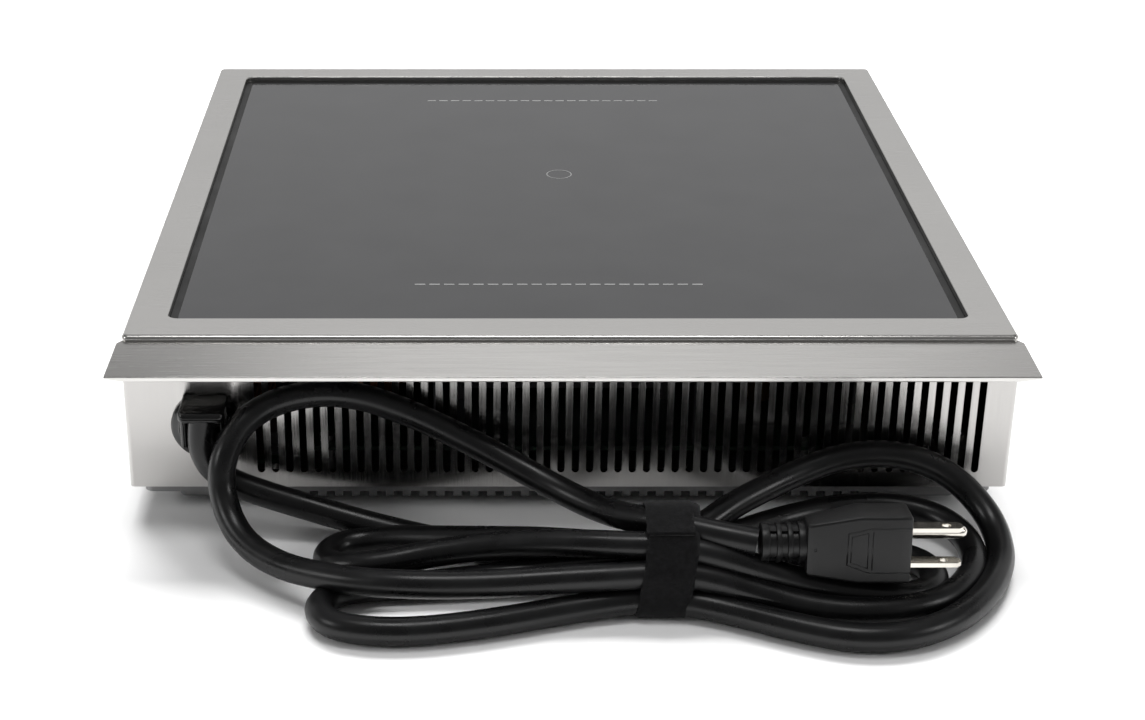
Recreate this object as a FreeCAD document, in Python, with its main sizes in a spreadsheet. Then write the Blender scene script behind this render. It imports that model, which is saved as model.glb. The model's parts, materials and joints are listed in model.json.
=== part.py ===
"""Countertop electric induction cooktop with its mains cord tied in a hank.

Frame: millimetres, +Z up, the feet stand on z = 0, the controls face -Y, the mains cord leaves
the rear wall at +Y, and the origin is under the middle of the body.
"""
import FreeCAD, Part
import math
import os
import re

import Sketcher
from FreeCAD import Placement, Rotation, Vector

SIZES = {
    # deck pressing: a raised square deck with a wider ledge that slopes down behind it
    "sheet": 1.0, "top_height": 70.0, "deck_width": 330.0, "deck_rear": 173.7,
    "deck_front": -157.6, "deck_roll": 1.6, "deck_corner": 2.4,
    "ledge_width": 334.5, "ledge_rear": 200.0, "ledge_high": 68.0, "ledge_low": 65.9,
    "ledge_chamfer": 1.3, "hem": 2.0, "hem_sweep": 8.0, "hem_tip": 0.7,
    # glass and its seal
    "opening": 300.0, "opening_rear": 157.0, "opening_corner": 4.0, "glass_drop": 2.3,
    "glass_thick": 4.0, "seal_width": 3.0, "seal_seat": 0.8, "seat_reach": 9.0, "fit": 0.1,
    # body shell
    "body_width": 328.0, "body_bottom": 12.0, "wall_rear": 182.0, "wall_top": 65.0,
    "base_flange": 16.5, "rear_flange": 12.0,
    "vent_count": 51, "vent_pitch": 5.32, "vent_width": 2.75, "vent_last": -151.4,
    "vent_bottom": 18.0, "vent_top": 61.5,
    # front fascia
    "front": -200.0, "slope_foot": 26.0, "slope_top": 63.7, "slope_back": -160.0,
    "fascia_thick": 1.5, "fascia_gap": 0.2, "fascia_return": 10.0,
    # bottom pan: a rim, a step and a slotted dish
    "pan_inset": 4.5, "pan_step": 7.6, "dish_half": 147.0, "dish_inset": 7.0,
    "dish_bottom": 3.7, "comb_count": 35, "comb_pitch": 6.4, "comb_gap": 3.3,
    "comb_reach": 14.0, "intake_count": 11, "intake_pitch": 6.0, "intake_gap": 3.0,
    "intake_length": 56.0,
    # feet
    "foot_x": 125.0, "foot_rear": 162.0, "foot_front": -174.0, "foot_radius": 7.0,
    "foot_screw": 1.9, "foot_round": 1.2,
    # screws through the pan step into the body flange
    "pan_screw_x": 153.0, "pan_screw_first": -150.0, "pan_screw_pitch": 100.0,
    "pan_screw": 1.9, "pan_head": 3.6, "pan_nut": 3.2,
    # deck brackets
    "bracket_first": -100.0, "bracket_pitch": 107.0, "bracket_thick": 1.5,
    "bracket_length": 20.0, "bracket_reach": 11.0, "bracket_drop": 18.0, "stud_x": 157.5,
    "stud": 2.0, "stud_bottom": 62.0,
    # controls, in the frame of the sloping face
    "overlay_x": 126.0, "overlay_low": 5.0, "overlay_high": 50.0, "overlay_thick": 0.8,
    "window_x": 16.0, "window_half": 31.0, "window_low": 16.0, "window_high": 38.0,
    "knob_x": 96.0, "knob_y": 25.0, "knob_radius": 14.0, "knob_low": 1.6, "knob_high": 12.4,
    "shaft_radius": 3.0, "bush_radius": 3.6, "bush_top": 3.4, "shaft_top": 10.6,
    "button_radius": 7.0, "button_first": -104.0, "button_pitch": 33.0, "button_y": 24.0,
    "button_top": 2.0, "button_clear": 0.3, "lamp_radius": 1.5, "lamp_y": 42.0,
    "board_front": -10.4, "board_thick": 1.6, "board_left": -122.0, "board_right": 116.0,
    "board_low": 7.0, "board_high": 46.0,
    # coil stack under the glass
    "cook_y": 7.0, "mica_radius": 106.0, "mica": 0.5, "coil_radius": 95.0, "coil_eye": 22.0,
    "coil_thick": 5.8, "coil_turns": 22, "groove": 0.7, "carrier_radius": 101.0,
    "carrier_thick": 4.5, "eye_radius": 10.0, "ferrite_count": 8, "ferrite_start": 26.0,
    "ferrite_length": 58.0, "ferrite_width": 13.0, "ferrite_thick": 3.0, "sensor_radius": 4.0,
    "tray_top": 47.0, "tray_thick": 1.5, "tray_half_x": 125.0, "tray_half_y": 115.0,
    "buffer_at": 82.0, "buffer_radius": 6.0, "post_x": 119.0, "post_y": 105.0,
    "post_radius": 4.0, "lead_slot_x": 110.0,
    # power electronics
    "power_x": 100.0, "power_front": -18.0, "power_rear": 150.0, "power_low": 10.7,
    "power_post_x": 93.0, "power_post_step": 77.0, "power_post_first": -11.0,
    "sink_half": 45.0, "sink_front": 18.0, "sink_rear": 108.0, "sink_low": 17.3,
    "sink_base": 4.0, "sink_high": 41.0, "fin_count": 14, "fin_thick": 1.8,
    "duct_half": 51.0, "duct_front": 8.0, "duct_rear": 148.0, "duct_high": 44.5,
    "duct_thick": 1.5,
    # fans
    "fan_x": 72.0, "fan_y": -72.0, "fan_side": 80.0, "fan_low": 8.7, "fan_deep": 20.0,
    "fan_bore": 38.2, "fan_hub": 15.5, "fan_tip": 36.4, "fan_hole": 35.75, "blade_count": 7,
    "axle_radius": 1.5, "strut_width": 5.0, "strut_thick": 2.0,
    # cord, strain relief and plug
    "gland_x": 134.0, "gland_z": 38.0, "gland_radius": 13.0, "gland_hole": 8.0,
    "cord_width": 10.0, "strap_x": -31.5, "strap_width": 18.0, "bundle_y": 240.0,
    "bundle_z": 16.3, "bundle_radius": 14.8, "strap_thick": 1.4,
    "plug_rear": -78.0, "plug_nose": -113.7, "plug_y": 248.0, "plug_z": 26.0,
    "plug_roll": 8.0, "plug_face": 7.8, "plug_half": 12.2, "plug_flat": -6.0,
    "plug_back": -15.5, "plug_back_half": 7.0, "plug_round": 1.2,
    "tail_half": 9.2, "tail_flat": -2.0, "tail_back": -9.0, "tail_back_half": 5.5,
    "tail_length": 15.0, "tail_core": 5.4, "tail_rib": 7.0, "rib_wide": 2.2, "rib_pitch": 3.4,
    "blade_y": 2.0, "blade_z": 6.35, "blade_wide": 6.3, "blade_thick": 1.5,
    "blade_length": 17.9, "blade_eye": 5.5, "blade_root": 4.0,
    "pin_y": -9.9, "pin_radius": 2.4, "pin_length": 22.5,
}

doc = FreeCAD.newDocument("InductionCooktop")
sheet = doc.addObject("Spreadsheet::Sheet", "sizes")
for row, (word, number) in enumerate(SIZES.items(), 1):
    sheet.set(f"A{row}", word)
    sheet.set(f"B{row}", str(number))
    sheet.setAlias(f"B{row}", word)
doc.recompute()

WORD = re.compile(r"[A-Za-z_]\w*")
nodes = []


def over_sheet(formula):
    """The formula with each size written as a reference to the sheet"""
    def refer(match):
        word = match.group()
        return "sizes." + word if word in SIZES else word
    return WORD.sub(refer, str(formula))


def value(formula):
    return float(sheet.evalExpression(str(formula)))


def bind(item, field, formula):
    item.setExpression(field, over_sheet(formula))


def keep(item, name):
    """Mark an object as a sub-part that gets its own file"""
    item.Label = name
    nodes.append(item)
    return item


def place(item, x, y, z, rotation=Rotation()):
    item.Placement = Placement(Vector(), rotation)
    for axis, formula in zip("xyz", (x, y, z)):
        bind(item, "Placement.Base." + axis, formula)


class Body:
    """A PartDesign body that grows one feature at a time"""

    def __init__(self, name):
        self.item = keep(doc.addObject("PartDesign::Body", name), name)

    def origin(self, role):
        return next(f for f in self.item.Origin.OriginFeatures if f.Role == role)

    def add(self, kind):
        return self.item.newObject(kind, self.item.Name + "_" + kind.split("::")[1])

    def sketch(self, role="XY_Plane", lift="0"):
        sketch = self.add("Sketcher::SketchObject")
        sketch.AttachmentSupport = [(self.origin(role), "")]
        sketch.MapMode = "FlatFace"
        bind(sketch, "AttachmentOffset.Base.z", lift)
        return sketch

    def pad(self, sketch, length, both=False, down=False):
        return self.extrude("PartDesign::Pad", sketch, length, both, down)

    def pocket(self, sketch, length, both=False, up=False):
        """Cuts along -normal of its plane unless up is set; the volume has to fall"""
        doc.recompute()
        before = self.item.Shape.Volume
        feature = self.extrude("PartDesign::Pocket", sketch, length, both, up)
        doc.recompute()
        if not self.item.Shape.Volume < before - 1e-6:
            raise RuntimeError(f"{self.item.Label}: a pocket cuts nothing")
        return feature

    def extrude(self, kind, sketch, length, both, flip):
        feature = self.add(kind)
        feature.Profile = sketch
        bind(feature, "Length", length)
        if both:
            feature.SideType = "Symmetric"
        feature.Reversed = flip
        self.item.Tip = feature
        return feature

    def turn(self, sketch, kind="PartDesign::Revolution"):
        """A full turn about the sketch's upright axis"""
        feature = self.add(kind)
        feature.Profile = sketch
        feature.ReferenceAxis = (sketch, ["V_Axis"])
        feature.Angle = 360
        self.item.Tip = feature
        return feature

    def row(self, feature, role, length, count):
        pattern = self.add("PartDesign::LinearPattern")
        pattern.Originals = [feature]
        pattern.Direction = (self.origin(role), [""])
        bind(pattern, "Length", length)
        bind(pattern, "Occurrences", count)
        self.item.Tip = pattern
        return pattern

    def ring(self, feature, count):
        pattern = self.add("PartDesign::PolarPattern")
        pattern.Originals = [feature]
        pattern.Axis = (self.origin("Z_Axis"), [""])
        pattern.Angle = 360
        bind(pattern, "Occurrences", count)
        self.item.Tip = pattern
        return pattern

    def round(self, radius, choose):
        """Fillet the edges whose middle point passes the test"""
        doc.recompute()
        base = self.item.Tip
        names = [f"Edge{i}" for i, edge in enumerate(base.Shape.Edges, 1)
                 if choose(edge.valueAt((edge.FirstParameter + edge.LastParameter) / 2))]
        fillet = self.add("PartDesign::Fillet")
        fillet.Base = (base, names)
        bind(fillet, "Radius", radius)
        self.item.Tip = fillet
        return fillet


def hold(sketch, kind, index, point, formula):
    made = sketch.addConstraint(Sketcher.Constraint(kind, -1, 1, index, point, value(formula)))
    bind(sketch, f"Constraints[{made}]", formula)


def draw(sketch, corners):
    """A closed outline of straight lines through corners given as formulas"""
    points = [Vector(value(x), value(y), 0) for x, y in corners]
    first = sketch.GeometryCount
    count = len(points)
    for i in range(count):
        sketch.addGeometry(Part.LineSegment(points[i], points[(i + 1) % count]), False)
    for i in range(count):
        sketch.addConstraint(
            Sketcher.Constraint("Coincident", first + i, 2, first + (i + 1) % count, 1))
    for i, (x, y) in enumerate(corners):
        hold(sketch, "DistanceX", first + i, 1, x)
        hold(sketch, "DistanceY", first + i, 1, y)
    return sketch


def rectangle(sketch, x, y):
    """x and y are (low, high) pairs of formulas"""
    return draw(sketch, [(x[0], y[0]), (x[1], y[0]), (x[1], y[1]), (x[0], y[1])])


def rounded(sketch, x, y, radius):
    """A rectangle with arc corners, held by its arc centres and radius"""
    low_x, high_x = f"{x[0]} + ({radius})", f"{x[1]} - ({radius})"
    low_y, high_y = f"{y[0]} + ({radius})", f"{y[1]} - ({radius})"
    centres = [(high_x, low_y), (high_x, high_y), (low_x, high_y), (low_x, low_y)]
    size = value(radius)
    first = sketch.GeometryCount
    arcs = []
    for i, (cx, cy) in enumerate(centres):
        circle = Part.Circle(Vector(value(cx), value(cy), 0), Vector(0, 0, 1), size)
        start = (i - 1) * math.pi / 2
        arcs.append(Part.ArcOfCircle(circle, start, start + math.pi / 2))
    for i in range(4):
        sketch.addGeometry(Part.LineSegment(arcs[i - 1].EndPoint, arcs[i].StartPoint), False)
        sketch.addGeometry(arcs[i], False)
    for i, (cx, cy) in enumerate(centres):
        line, arc, following = first + 2 * i, first + 2 * i + 1, first + (2 * i + 2) % 8
        sketch.addConstraint(Sketcher.Constraint("Tangent", line, 2, arc, 1))
        sketch.addConstraint(Sketcher.Constraint("Tangent", arc, 2, following, 1))
        hold(sketch, "DistanceX", arc, 3, cx)
        hold(sketch, "DistanceY", arc, 3, cy)
        made = sketch.addConstraint(Sketcher.Constraint("Radius", arc, size))
        bind(sketch, f"Constraints[{made}]", radius)
    return sketch


def circle(sketch, x, y, radius):
    centre = Vector(value(x), value(y), 0)
    index = sketch.addGeometry(Part.Circle(centre, Vector(0, 0, 1), value(radius)), False)
    hold(sketch, "DistanceX", index, 3, x)
    hold(sketch, "DistanceY", index, 3, y)
    made = sketch.addConstraint(Sketcher.Constraint("Radius", index, value(radius)))
    bind(sketch, f"Constraints[{made}]", radius)
    return sketch


def box(name, x, y, z):
    """A Part box between pairs of formulas"""
    item = doc.addObject("Part::Box", name)
    for field, pair in (("Length", x), ("Width", y), ("Height", z)):
        bind(item, field, f"({pair[1]}) - ({pair[0]})")
    place(item, x[0], y[0], z[0])
    return item


def post(name, x, y, z, radius):
    """An upright Part cylinder; z is a pair of formulas"""
    item = doc.addObject("Part::Cylinder", name)
    bind(item, "Radius", radius)
    bind(item, "Height", f"({z[1]}) - ({z[0]})")
    place(item, x, y, z[0])
    return item


def hexagon(name, x, y, z, radius):
    """An upright Part prism with six sides; radius reaches its corners"""
    item = doc.addObject("Part::Prism", name)
    bind(item, "Circumradius", radius)
    bind(item, "Height", f"({z[1]}) - ({z[0]})")
    place(item, x, y, z[0])
    return item


def fuse(name, shapes):
    item = doc.addObject("Part::MultiFuse", name)
    item.Shapes = shapes
    return item


def cut(name, base, tools):
    item = doc.addObject("Part::Cut", name)
    item.Base = base
    item.Tool = tools[0] if len(tools) == 1 else fuse(name + "_tools", tools)
    return item


def group(name, members):
    """Separate solids kept in one node"""
    item = doc.addObject("Part::Compound", name)
    item.Links = members
    return item


def screw(name, x, y, under, tip, shank, head, head_height, head_up):
    """A pan-head screw; under is the height of the bearing face of its head"""
    low, high = (tip, under) if head_up else (under, tip)
    head_z = (under, f"{under} + {head_height}") if head_up else (f"{under} - {head_height}", under)
    return fuse(name, [post(name + "_shank", x, y, (low, high), shank),
                       post(name + "_head", x, y, head_z, head)])


# ---------------------------------------------------------------- enclosure

REAR_IN = "opening_rear - opening"
PAN_FLOOR = "dish_bottom + sheet"


def top_deck():
    """Pressed deck: a raised deck with a rolled edge, a hemmed rear ledge and the glass seat"""
    body = Body("top_deck")
    deck = body.sketch(lift="wall_top")
    rounded(deck, ("-deck_width / 2", "deck_width / 2"), ("deck_front", "deck_rear"), "deck_corner")
    body.pad(deck, "top_height - wall_top")
    body.round("deck_roll", lambda p: p.z > value("top_height") - 0.01)
    hollow = body.sketch(lift="top_height - sheet")
    rounded(hollow, ("-deck_width / 2 + sheet", "deck_width / 2 - sheet"),
            ("deck_front + sheet", "deck_rear - sheet"), "deck_corner")
    body.pocket(hollow, "top_height - wall_top")
    profile = [("deck_rear - sheet / 2", "ledge_high"), ("deck_rear", "ledge_high"),
               ("ledge_rear", "ledge_low"), ("ledge_rear", "ledge_low - hem"),
               ("ledge_rear - sheet", "ledge_low - hem"), ("ledge_rear - sheet", "ledge_low - sheet"),
               ("deck_rear", "ledge_high - sheet"), ("deck_rear - sheet / 2", "ledge_high - sheet")]
    body.pad(draw(body.sketch("YZ_Plane"), profile), "ledge_width", both=True)
    beside = body.sketch(lift="top_height + sheet")
    below = body.sketch("XZ_Plane", lift="-ledge_rear - sheet")
    for side in ("-", ""):
        half, wide = f"{side}deck_width / 2", f"{side}ledge_width / 2"
        beyond = f"{side}(ledge_width / 2 + sheet)"
        draw(beside, [(half, "deck_rear - sheet"), (half, "deck_rear"),
                      (f"{side}(deck_width / 2 + ledge_chamfer)", "deck_rear + ledge_chamfer"),
                      (wide, "ledge_rear"), (beyond, "ledge_rear"), (beyond, "deck_rear - sheet")])
        draw(below, [(f"{side}(ledge_width / 2 - hem_sweep)", "ledge_low - hem"),
                     (f"{side}(ledge_width / 2 - hem_sweep)", "ledge_low - hem - sheet"),
                     (beyond, "ledge_low - hem - sheet"), (beyond, "ledge_low - hem_tip"),
                     (wide, "ledge_low - hem_tip")])
    body.pocket(beside, "top_height")
    body.pocket(below, "3 * sheet", up=True)
    body.round("0.45", lambda p: abs(p.y - value("ledge_rear")) < 0.01 and abs(p.x) < 1)
    drop = "(glass_drop + glass_thick + seal_seat + sheet)"
    lip = body.sketch(lift=f"top_height - {drop}")
    rounded(lip, ("-opening / 2 - sheet", "opening / 2 + sheet"),
            (f"{REAR_IN} - sheet", "opening_rear + sheet"), "opening_corner + sheet")
    body.pad(lip, f"{drop} - sheet / 2")
    well = body.sketch(lift="top_height + sheet")
    rounded(well, ("-opening / 2", "opening / 2"), (REAR_IN, "opening_rear"), "opening_corner")
    body.pocket(well, f"{drop}")
    seat = body.sketch(lift="top_height")
    rectangle(seat, ("-opening / 2 + seat_reach", "opening / 2 - seat_reach"),
              (f"{REAR_IN} + seat_reach", "opening_rear - seat_reach"))
    body.pocket(seat, "top_height - wall_top + 7 * sheet")
    body.round("sheet * 0.6", lambda p: p.z > value("top_height") - 0.01
               and abs(p.x) < value("opening / 2 + 0.1")
               and value(REAR_IN) - 0.1 < p.y < value("opening_rear + 0.1"))
    stud = body.sketch(lift="stud_bottom")
    for side in ("-stud_x", "stud_x"):
        for step in range(3):
            circle(stud, side, f"bracket_first + {step} * bracket_pitch", "stud")
    body.pad(stud, "top_height - sheet - stud_bottom")


def glass_plate():
    body = Body("glass_plate")
    face = body.sketch(lift="top_height - glass_drop - glass_thick")
    rounded(face, ("-opening / 2 + seal_width", "opening / 2 - seal_width"),
            (f"{REAR_IN} + seal_width", "opening_rear - seal_width"), "opening_corner - sheet")
    body.pad(face, "glass_thick")
    body.round("0.4", lambda p: p.z > value("top_height - glass_drop") - 0.01)


def glass_seal():
    """Silicone frame: a collar round the glass and a bed under its edge"""
    body = Body("glass_seal")
    outer = body.sketch(lift="top_height - glass_drop - glass_thick - seal_seat")
    rounded(outer, ("-opening / 2 + fit", "opening / 2 - fit"),
            (f"{REAR_IN} + fit", "opening_rear - fit"), "opening_corner - fit")
    body.pad(outer, "glass_thick + seal_seat - 0.5")
    well = body.sketch(lift="top_height")
    rounded(well, ("-opening / 2 + seal_width", "opening / 2 - seal_width"),
            (f"{REAR_IN} + seal_width", "opening_rear - seal_width"), "opening_corner - sheet")
    body.pocket(well, "glass_drop + glass_thick")
    hole = body.sketch(lift="top_height")
    rectangle(hole, ("-opening / 2 + seat_reach", "opening / 2 - seat_reach"),
              (f"{REAR_IN} + seat_reach", "opening_rear - seat_reach"))
    body.pocket(hole, "top_height")


def side_profile(inset, bottom, rear, top):
    """Corners of the body seen from its side, set in from the fascia by a distance"""
    rise, run = value("slope_top - slope_foot"), value("slope_back - front")
    length = math.hypot(rise, run)
    shift_y, shift_z = inset * rise / length, -inset * run / length
    foot = (value("front") + shift_y, value("slope_foot") + shift_z)
    front = value("front") + inset
    foot_z = foot[1] + (front - foot[0]) * rise / run
    top_y = foot[0] + (top - foot[1]) * run / rise
    return [(rear, bottom), (rear, top), (top_y, top), (front, foot_z), (front, bottom)]


def body_shell():
    """Side walls, rear wall and base flange in one folded sheet"""
    body = Body("body_shell")
    gap = value("fascia_thick + fascia_gap")
    outer = side_profile(gap, value("body_bottom"), value("wall_rear"), value("wall_top"))
    side = draw(body.sketch("YZ_Plane"), outer)
    body.pad(side, "body_width", both=True)
    body.round("1.6", lambda p: abs(p.y - value("wall_rear")) < 0.01
               and abs(p.x) > value("body_width / 2") - 0.01)
    inner = [(value("wall_rear - sheet"), value("body_bottom + sheet")),
             (value("wall_rear - sheet"), value("top_height")),
             (value("front") - 5, value("top_height")),
             (value("front") - 5, value("body_bottom + sheet"))]
    body.pocket(draw(body.sketch("YZ_Plane"), inner), "body_width - 2 * sheet", both=True)
    base = body.sketch(lift="body_bottom + 2 * sheet")
    rectangle(base, ("-body_width / 2 + base_flange", "body_width / 2 - base_flange"),
              ("front - 5", "wall_rear - rear_flange"))
    body.pocket(base, "3 * sheet")
    vent = body.sketch("XZ_Plane", lift="-wall_rear")
    rounded(vent, ("vent_last - vent_width / 2", "vent_last + vent_width / 2"),
            ("vent_bottom", "vent_top"), "vent_width / 2 - 0.001")
    slot = body.pocket(vent, "4 * sheet", both=True)
    body.row(slot, "X_Axis", "vent_pitch * (vent_count - 1)", "vent_count")
    gland = body.sketch("XZ_Plane", lift="-wall_rear")
    body.pocket(circle(gland, "gland_x", "gland_z", "gland_hole"), "4 * sheet", both=True)
    holes = body.sketch(lift="body_bottom + 2 * sheet")
    for side in ("-pan_screw_x", "pan_screw_x"):
        for step in range(4):
            circle(holes, side, f"pan_screw_first + {step} * pan_screw_pitch", "pan_screw + 0.2")
    body.pocket(holes, "3 * sheet")
    return body


def bottom_pan():
    """Stepped pan; the comb of slots wraps the rear bend of its dish"""
    body = Body("bottom_pan")
    half = "body_width / 2 - pan_inset"
    front = "front + pan_inset"
    rear = "wall_rear - pan_inset"
    body.pad(rounded(body.sketch(lift="pan_step"), ("-(" + half + ")", half), (front, rear), "3"),
             "body_bottom - pan_step")
    dish = rounded(body.sketch(lift="dish_bottom"), ("-dish_half", "dish_half"),
                   ("front + dish_inset", "wall_rear - dish_inset"), "3")
    body.pad(dish, "pan_step - dish_bottom")
    body.round("1.4", lambda p: p.z < value("dish_bottom") + 0.01)
    step = rounded(body.sketch(lift="body_bottom + sheet"),
                   ("-(" + half + " - sheet)", half + " - sheet"),
                   (front + " + sheet", rear + " - sheet"), "2")
    body.pocket(step, "body_bottom - pan_step")
    well = rounded(body.sketch(lift="body_bottom"), ("-dish_half + sheet", "dish_half - sheet"),
                   ("front + dish_inset + sheet", "wall_rear - dish_inset - sheet"), "2")
    body.pocket(well, "body_bottom - dish_bottom - sheet")
    comb = body.sketch(lift="pan_step")
    first = "-comb_pitch * (comb_count - 1) / 2"
    rectangle(comb, (f"{first} - comb_gap / 2", f"{first} + comb_gap / 2"),
              ("wall_rear - dish_inset - comb_reach", "wall_rear - dish_inset + 1"))
    slot = body.pocket(comb, "pan_step")
    body.row(slot, "X_Axis", "comb_pitch * (comb_count - 1)", "comb_count")
    for side in (-1, 1):
        intake = body.sketch(lift="pan_step")
        low = f"{side} * fan_x - intake_pitch * (intake_count - 1) / 2"
        rounded(intake, (f"{low} - intake_gap / 2", f"{low} + intake_gap / 2"),
                ("fan_y - intake_length / 2", "fan_y + intake_length / 2"), "1.4")
        opening = body.pocket(intake, "pan_step")
        body.row(opening, "X_Axis", "intake_pitch * (intake_count - 1)", "intake_count")
    boss = body.sketch(lift="dish_bottom + sheet / 2")
    bore = body.sketch(lift="fan_low + 1")
    for x, y in fan_corners():
        circle(boss, x, y, "3.8")
        circle(bore, x, y, "1.9")
    body.pad(boss, "fan_low - dish_bottom - sheet / 2")
    body.pocket(bore, f"fan_low + 1 - ({PAN_FLOOR})")
    holes = body.sketch(lift="body_bottom")
    for side in ("-pan_screw_x", "pan_screw_x"):
        for step in range(4):
            circle(holes, side, f"pan_screw_first + {step} * pan_screw_pitch", "pan_screw + 0.2")
    for x in ("-foot_x", "foot_x"):
        for y in ("foot_front", "foot_rear"):
            circle(holes, x, y, "foot_screw + 0.2")
    body.pocket(holes, "body_bottom")


def front_fascia():
    """Sloping control face, front wall and a return under the deck"""
    body = Body("front_fascia")
    profile = side_profile(0.0, value("body_bottom"), value("slope_back"), value("slope_top"))
    (rear, low), (_, high), _, foot, (face, _) = profile
    thick = value("fascia_thick")
    back = rear + value("fascia_return")
    inner_back, inner_foot, inner_face = side_profile(thick, low + thick, back, high - thick)[2:]
    outline = [(back, high), (rear, high), foot, (face, low), (face + 12, low),
               (face + 12, low + thick), inner_face, inner_foot, inner_back, (back, high - thick)]
    body.pad(draw(body.sketch("YZ_Plane"), outline), "body_width", both=True)
    notch = body.sketch(lift="body_bottom + fascia_thick")
    edge = "body_width / 2 - base_flange"
    for low_x, high_x in ((f"-body_width / 2 - 1", f"-({edge}) + 0.2"),
                          (f"{edge} - 0.2", "body_width / 2 + 1")):
        rectangle(notch, (low_x, high_x), ("front + fascia_thick + 0.1", "front + 14"))
    body.pocket(notch, "fascia_thick + 1")
    ends = body.sketch(lift="slope_top + 1")
    for low_x, high_x in (("-body_width / 2 - 1", "-body_width / 2 + sheet + 0.3"),
                          ("body_width / 2 - sheet - 0.3", "body_width / 2 + 1")):
        rectangle(ends, (low_x, high_x), ("slope_back + 0.4", "slope_back + fascia_return + 1"))
    body.pocket(ends, "fascia_thick + 1")
    return body


# The sloping face has its own frame: x across, y up the slope, z out of the face.
SLOPE = math.degrees(math.atan2(value("slope_top - slope_foot"), value("slope_back - front")))
FACE = Placement(Vector(0, value("front"), value("slope_foot")), Rotation(Vector(1, 0, 0), SLOPE))
BUTTONS = ("power", "mode", "timer")


def on_face(body):
    body.item.Placement = FACE
    return body


def button_x(index):
    return f"button_first + {index} * button_pitch"


def cut_fascia(fascia):
    """Openings for the controls, cut square to the sloping face"""
    tools = [box("window_tool", ("window_x - window_half", "window_x + window_half"),
                 ("window_low", "window_high"), ("-4", "4")),
             post("knob_tool", "knob_x", "knob_y", ("-4", "4"), "bush_radius + 0.2")]
    for index in range(len(BUTTONS)):
        tools.append(post(f"button_tool_{index}", button_x(index), "button_y", ("-4", "4"),
                          "button_radius + button_clear"))
        tools.append(post(f"lamp_tool_{index}", button_x(index), "lamp_y", ("-4", "4"),
                          "lamp_radius"))
    openings = fuse("fascia_openings", tools)
    studs = fuse("fascia_studs", [
        post(f"fascia_stud_{x[6]}_{y[6]}", x, y, ("board_front", "-fascia_thick"), "2.8")
        for x in ("board_left + 5", "board_right - 5")
        for y in ("board_low + 5", "board_high - 5")])
    openings.Placement = FACE
    studs.Placement = FACE
    nodes.remove(fascia.item)
    fascia.item.Label = "fascia_sheet"
    keep(cut("fascia_cut", fuse("fascia_body", [fascia.item, studs]), [openings]), "front_fascia")


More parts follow.
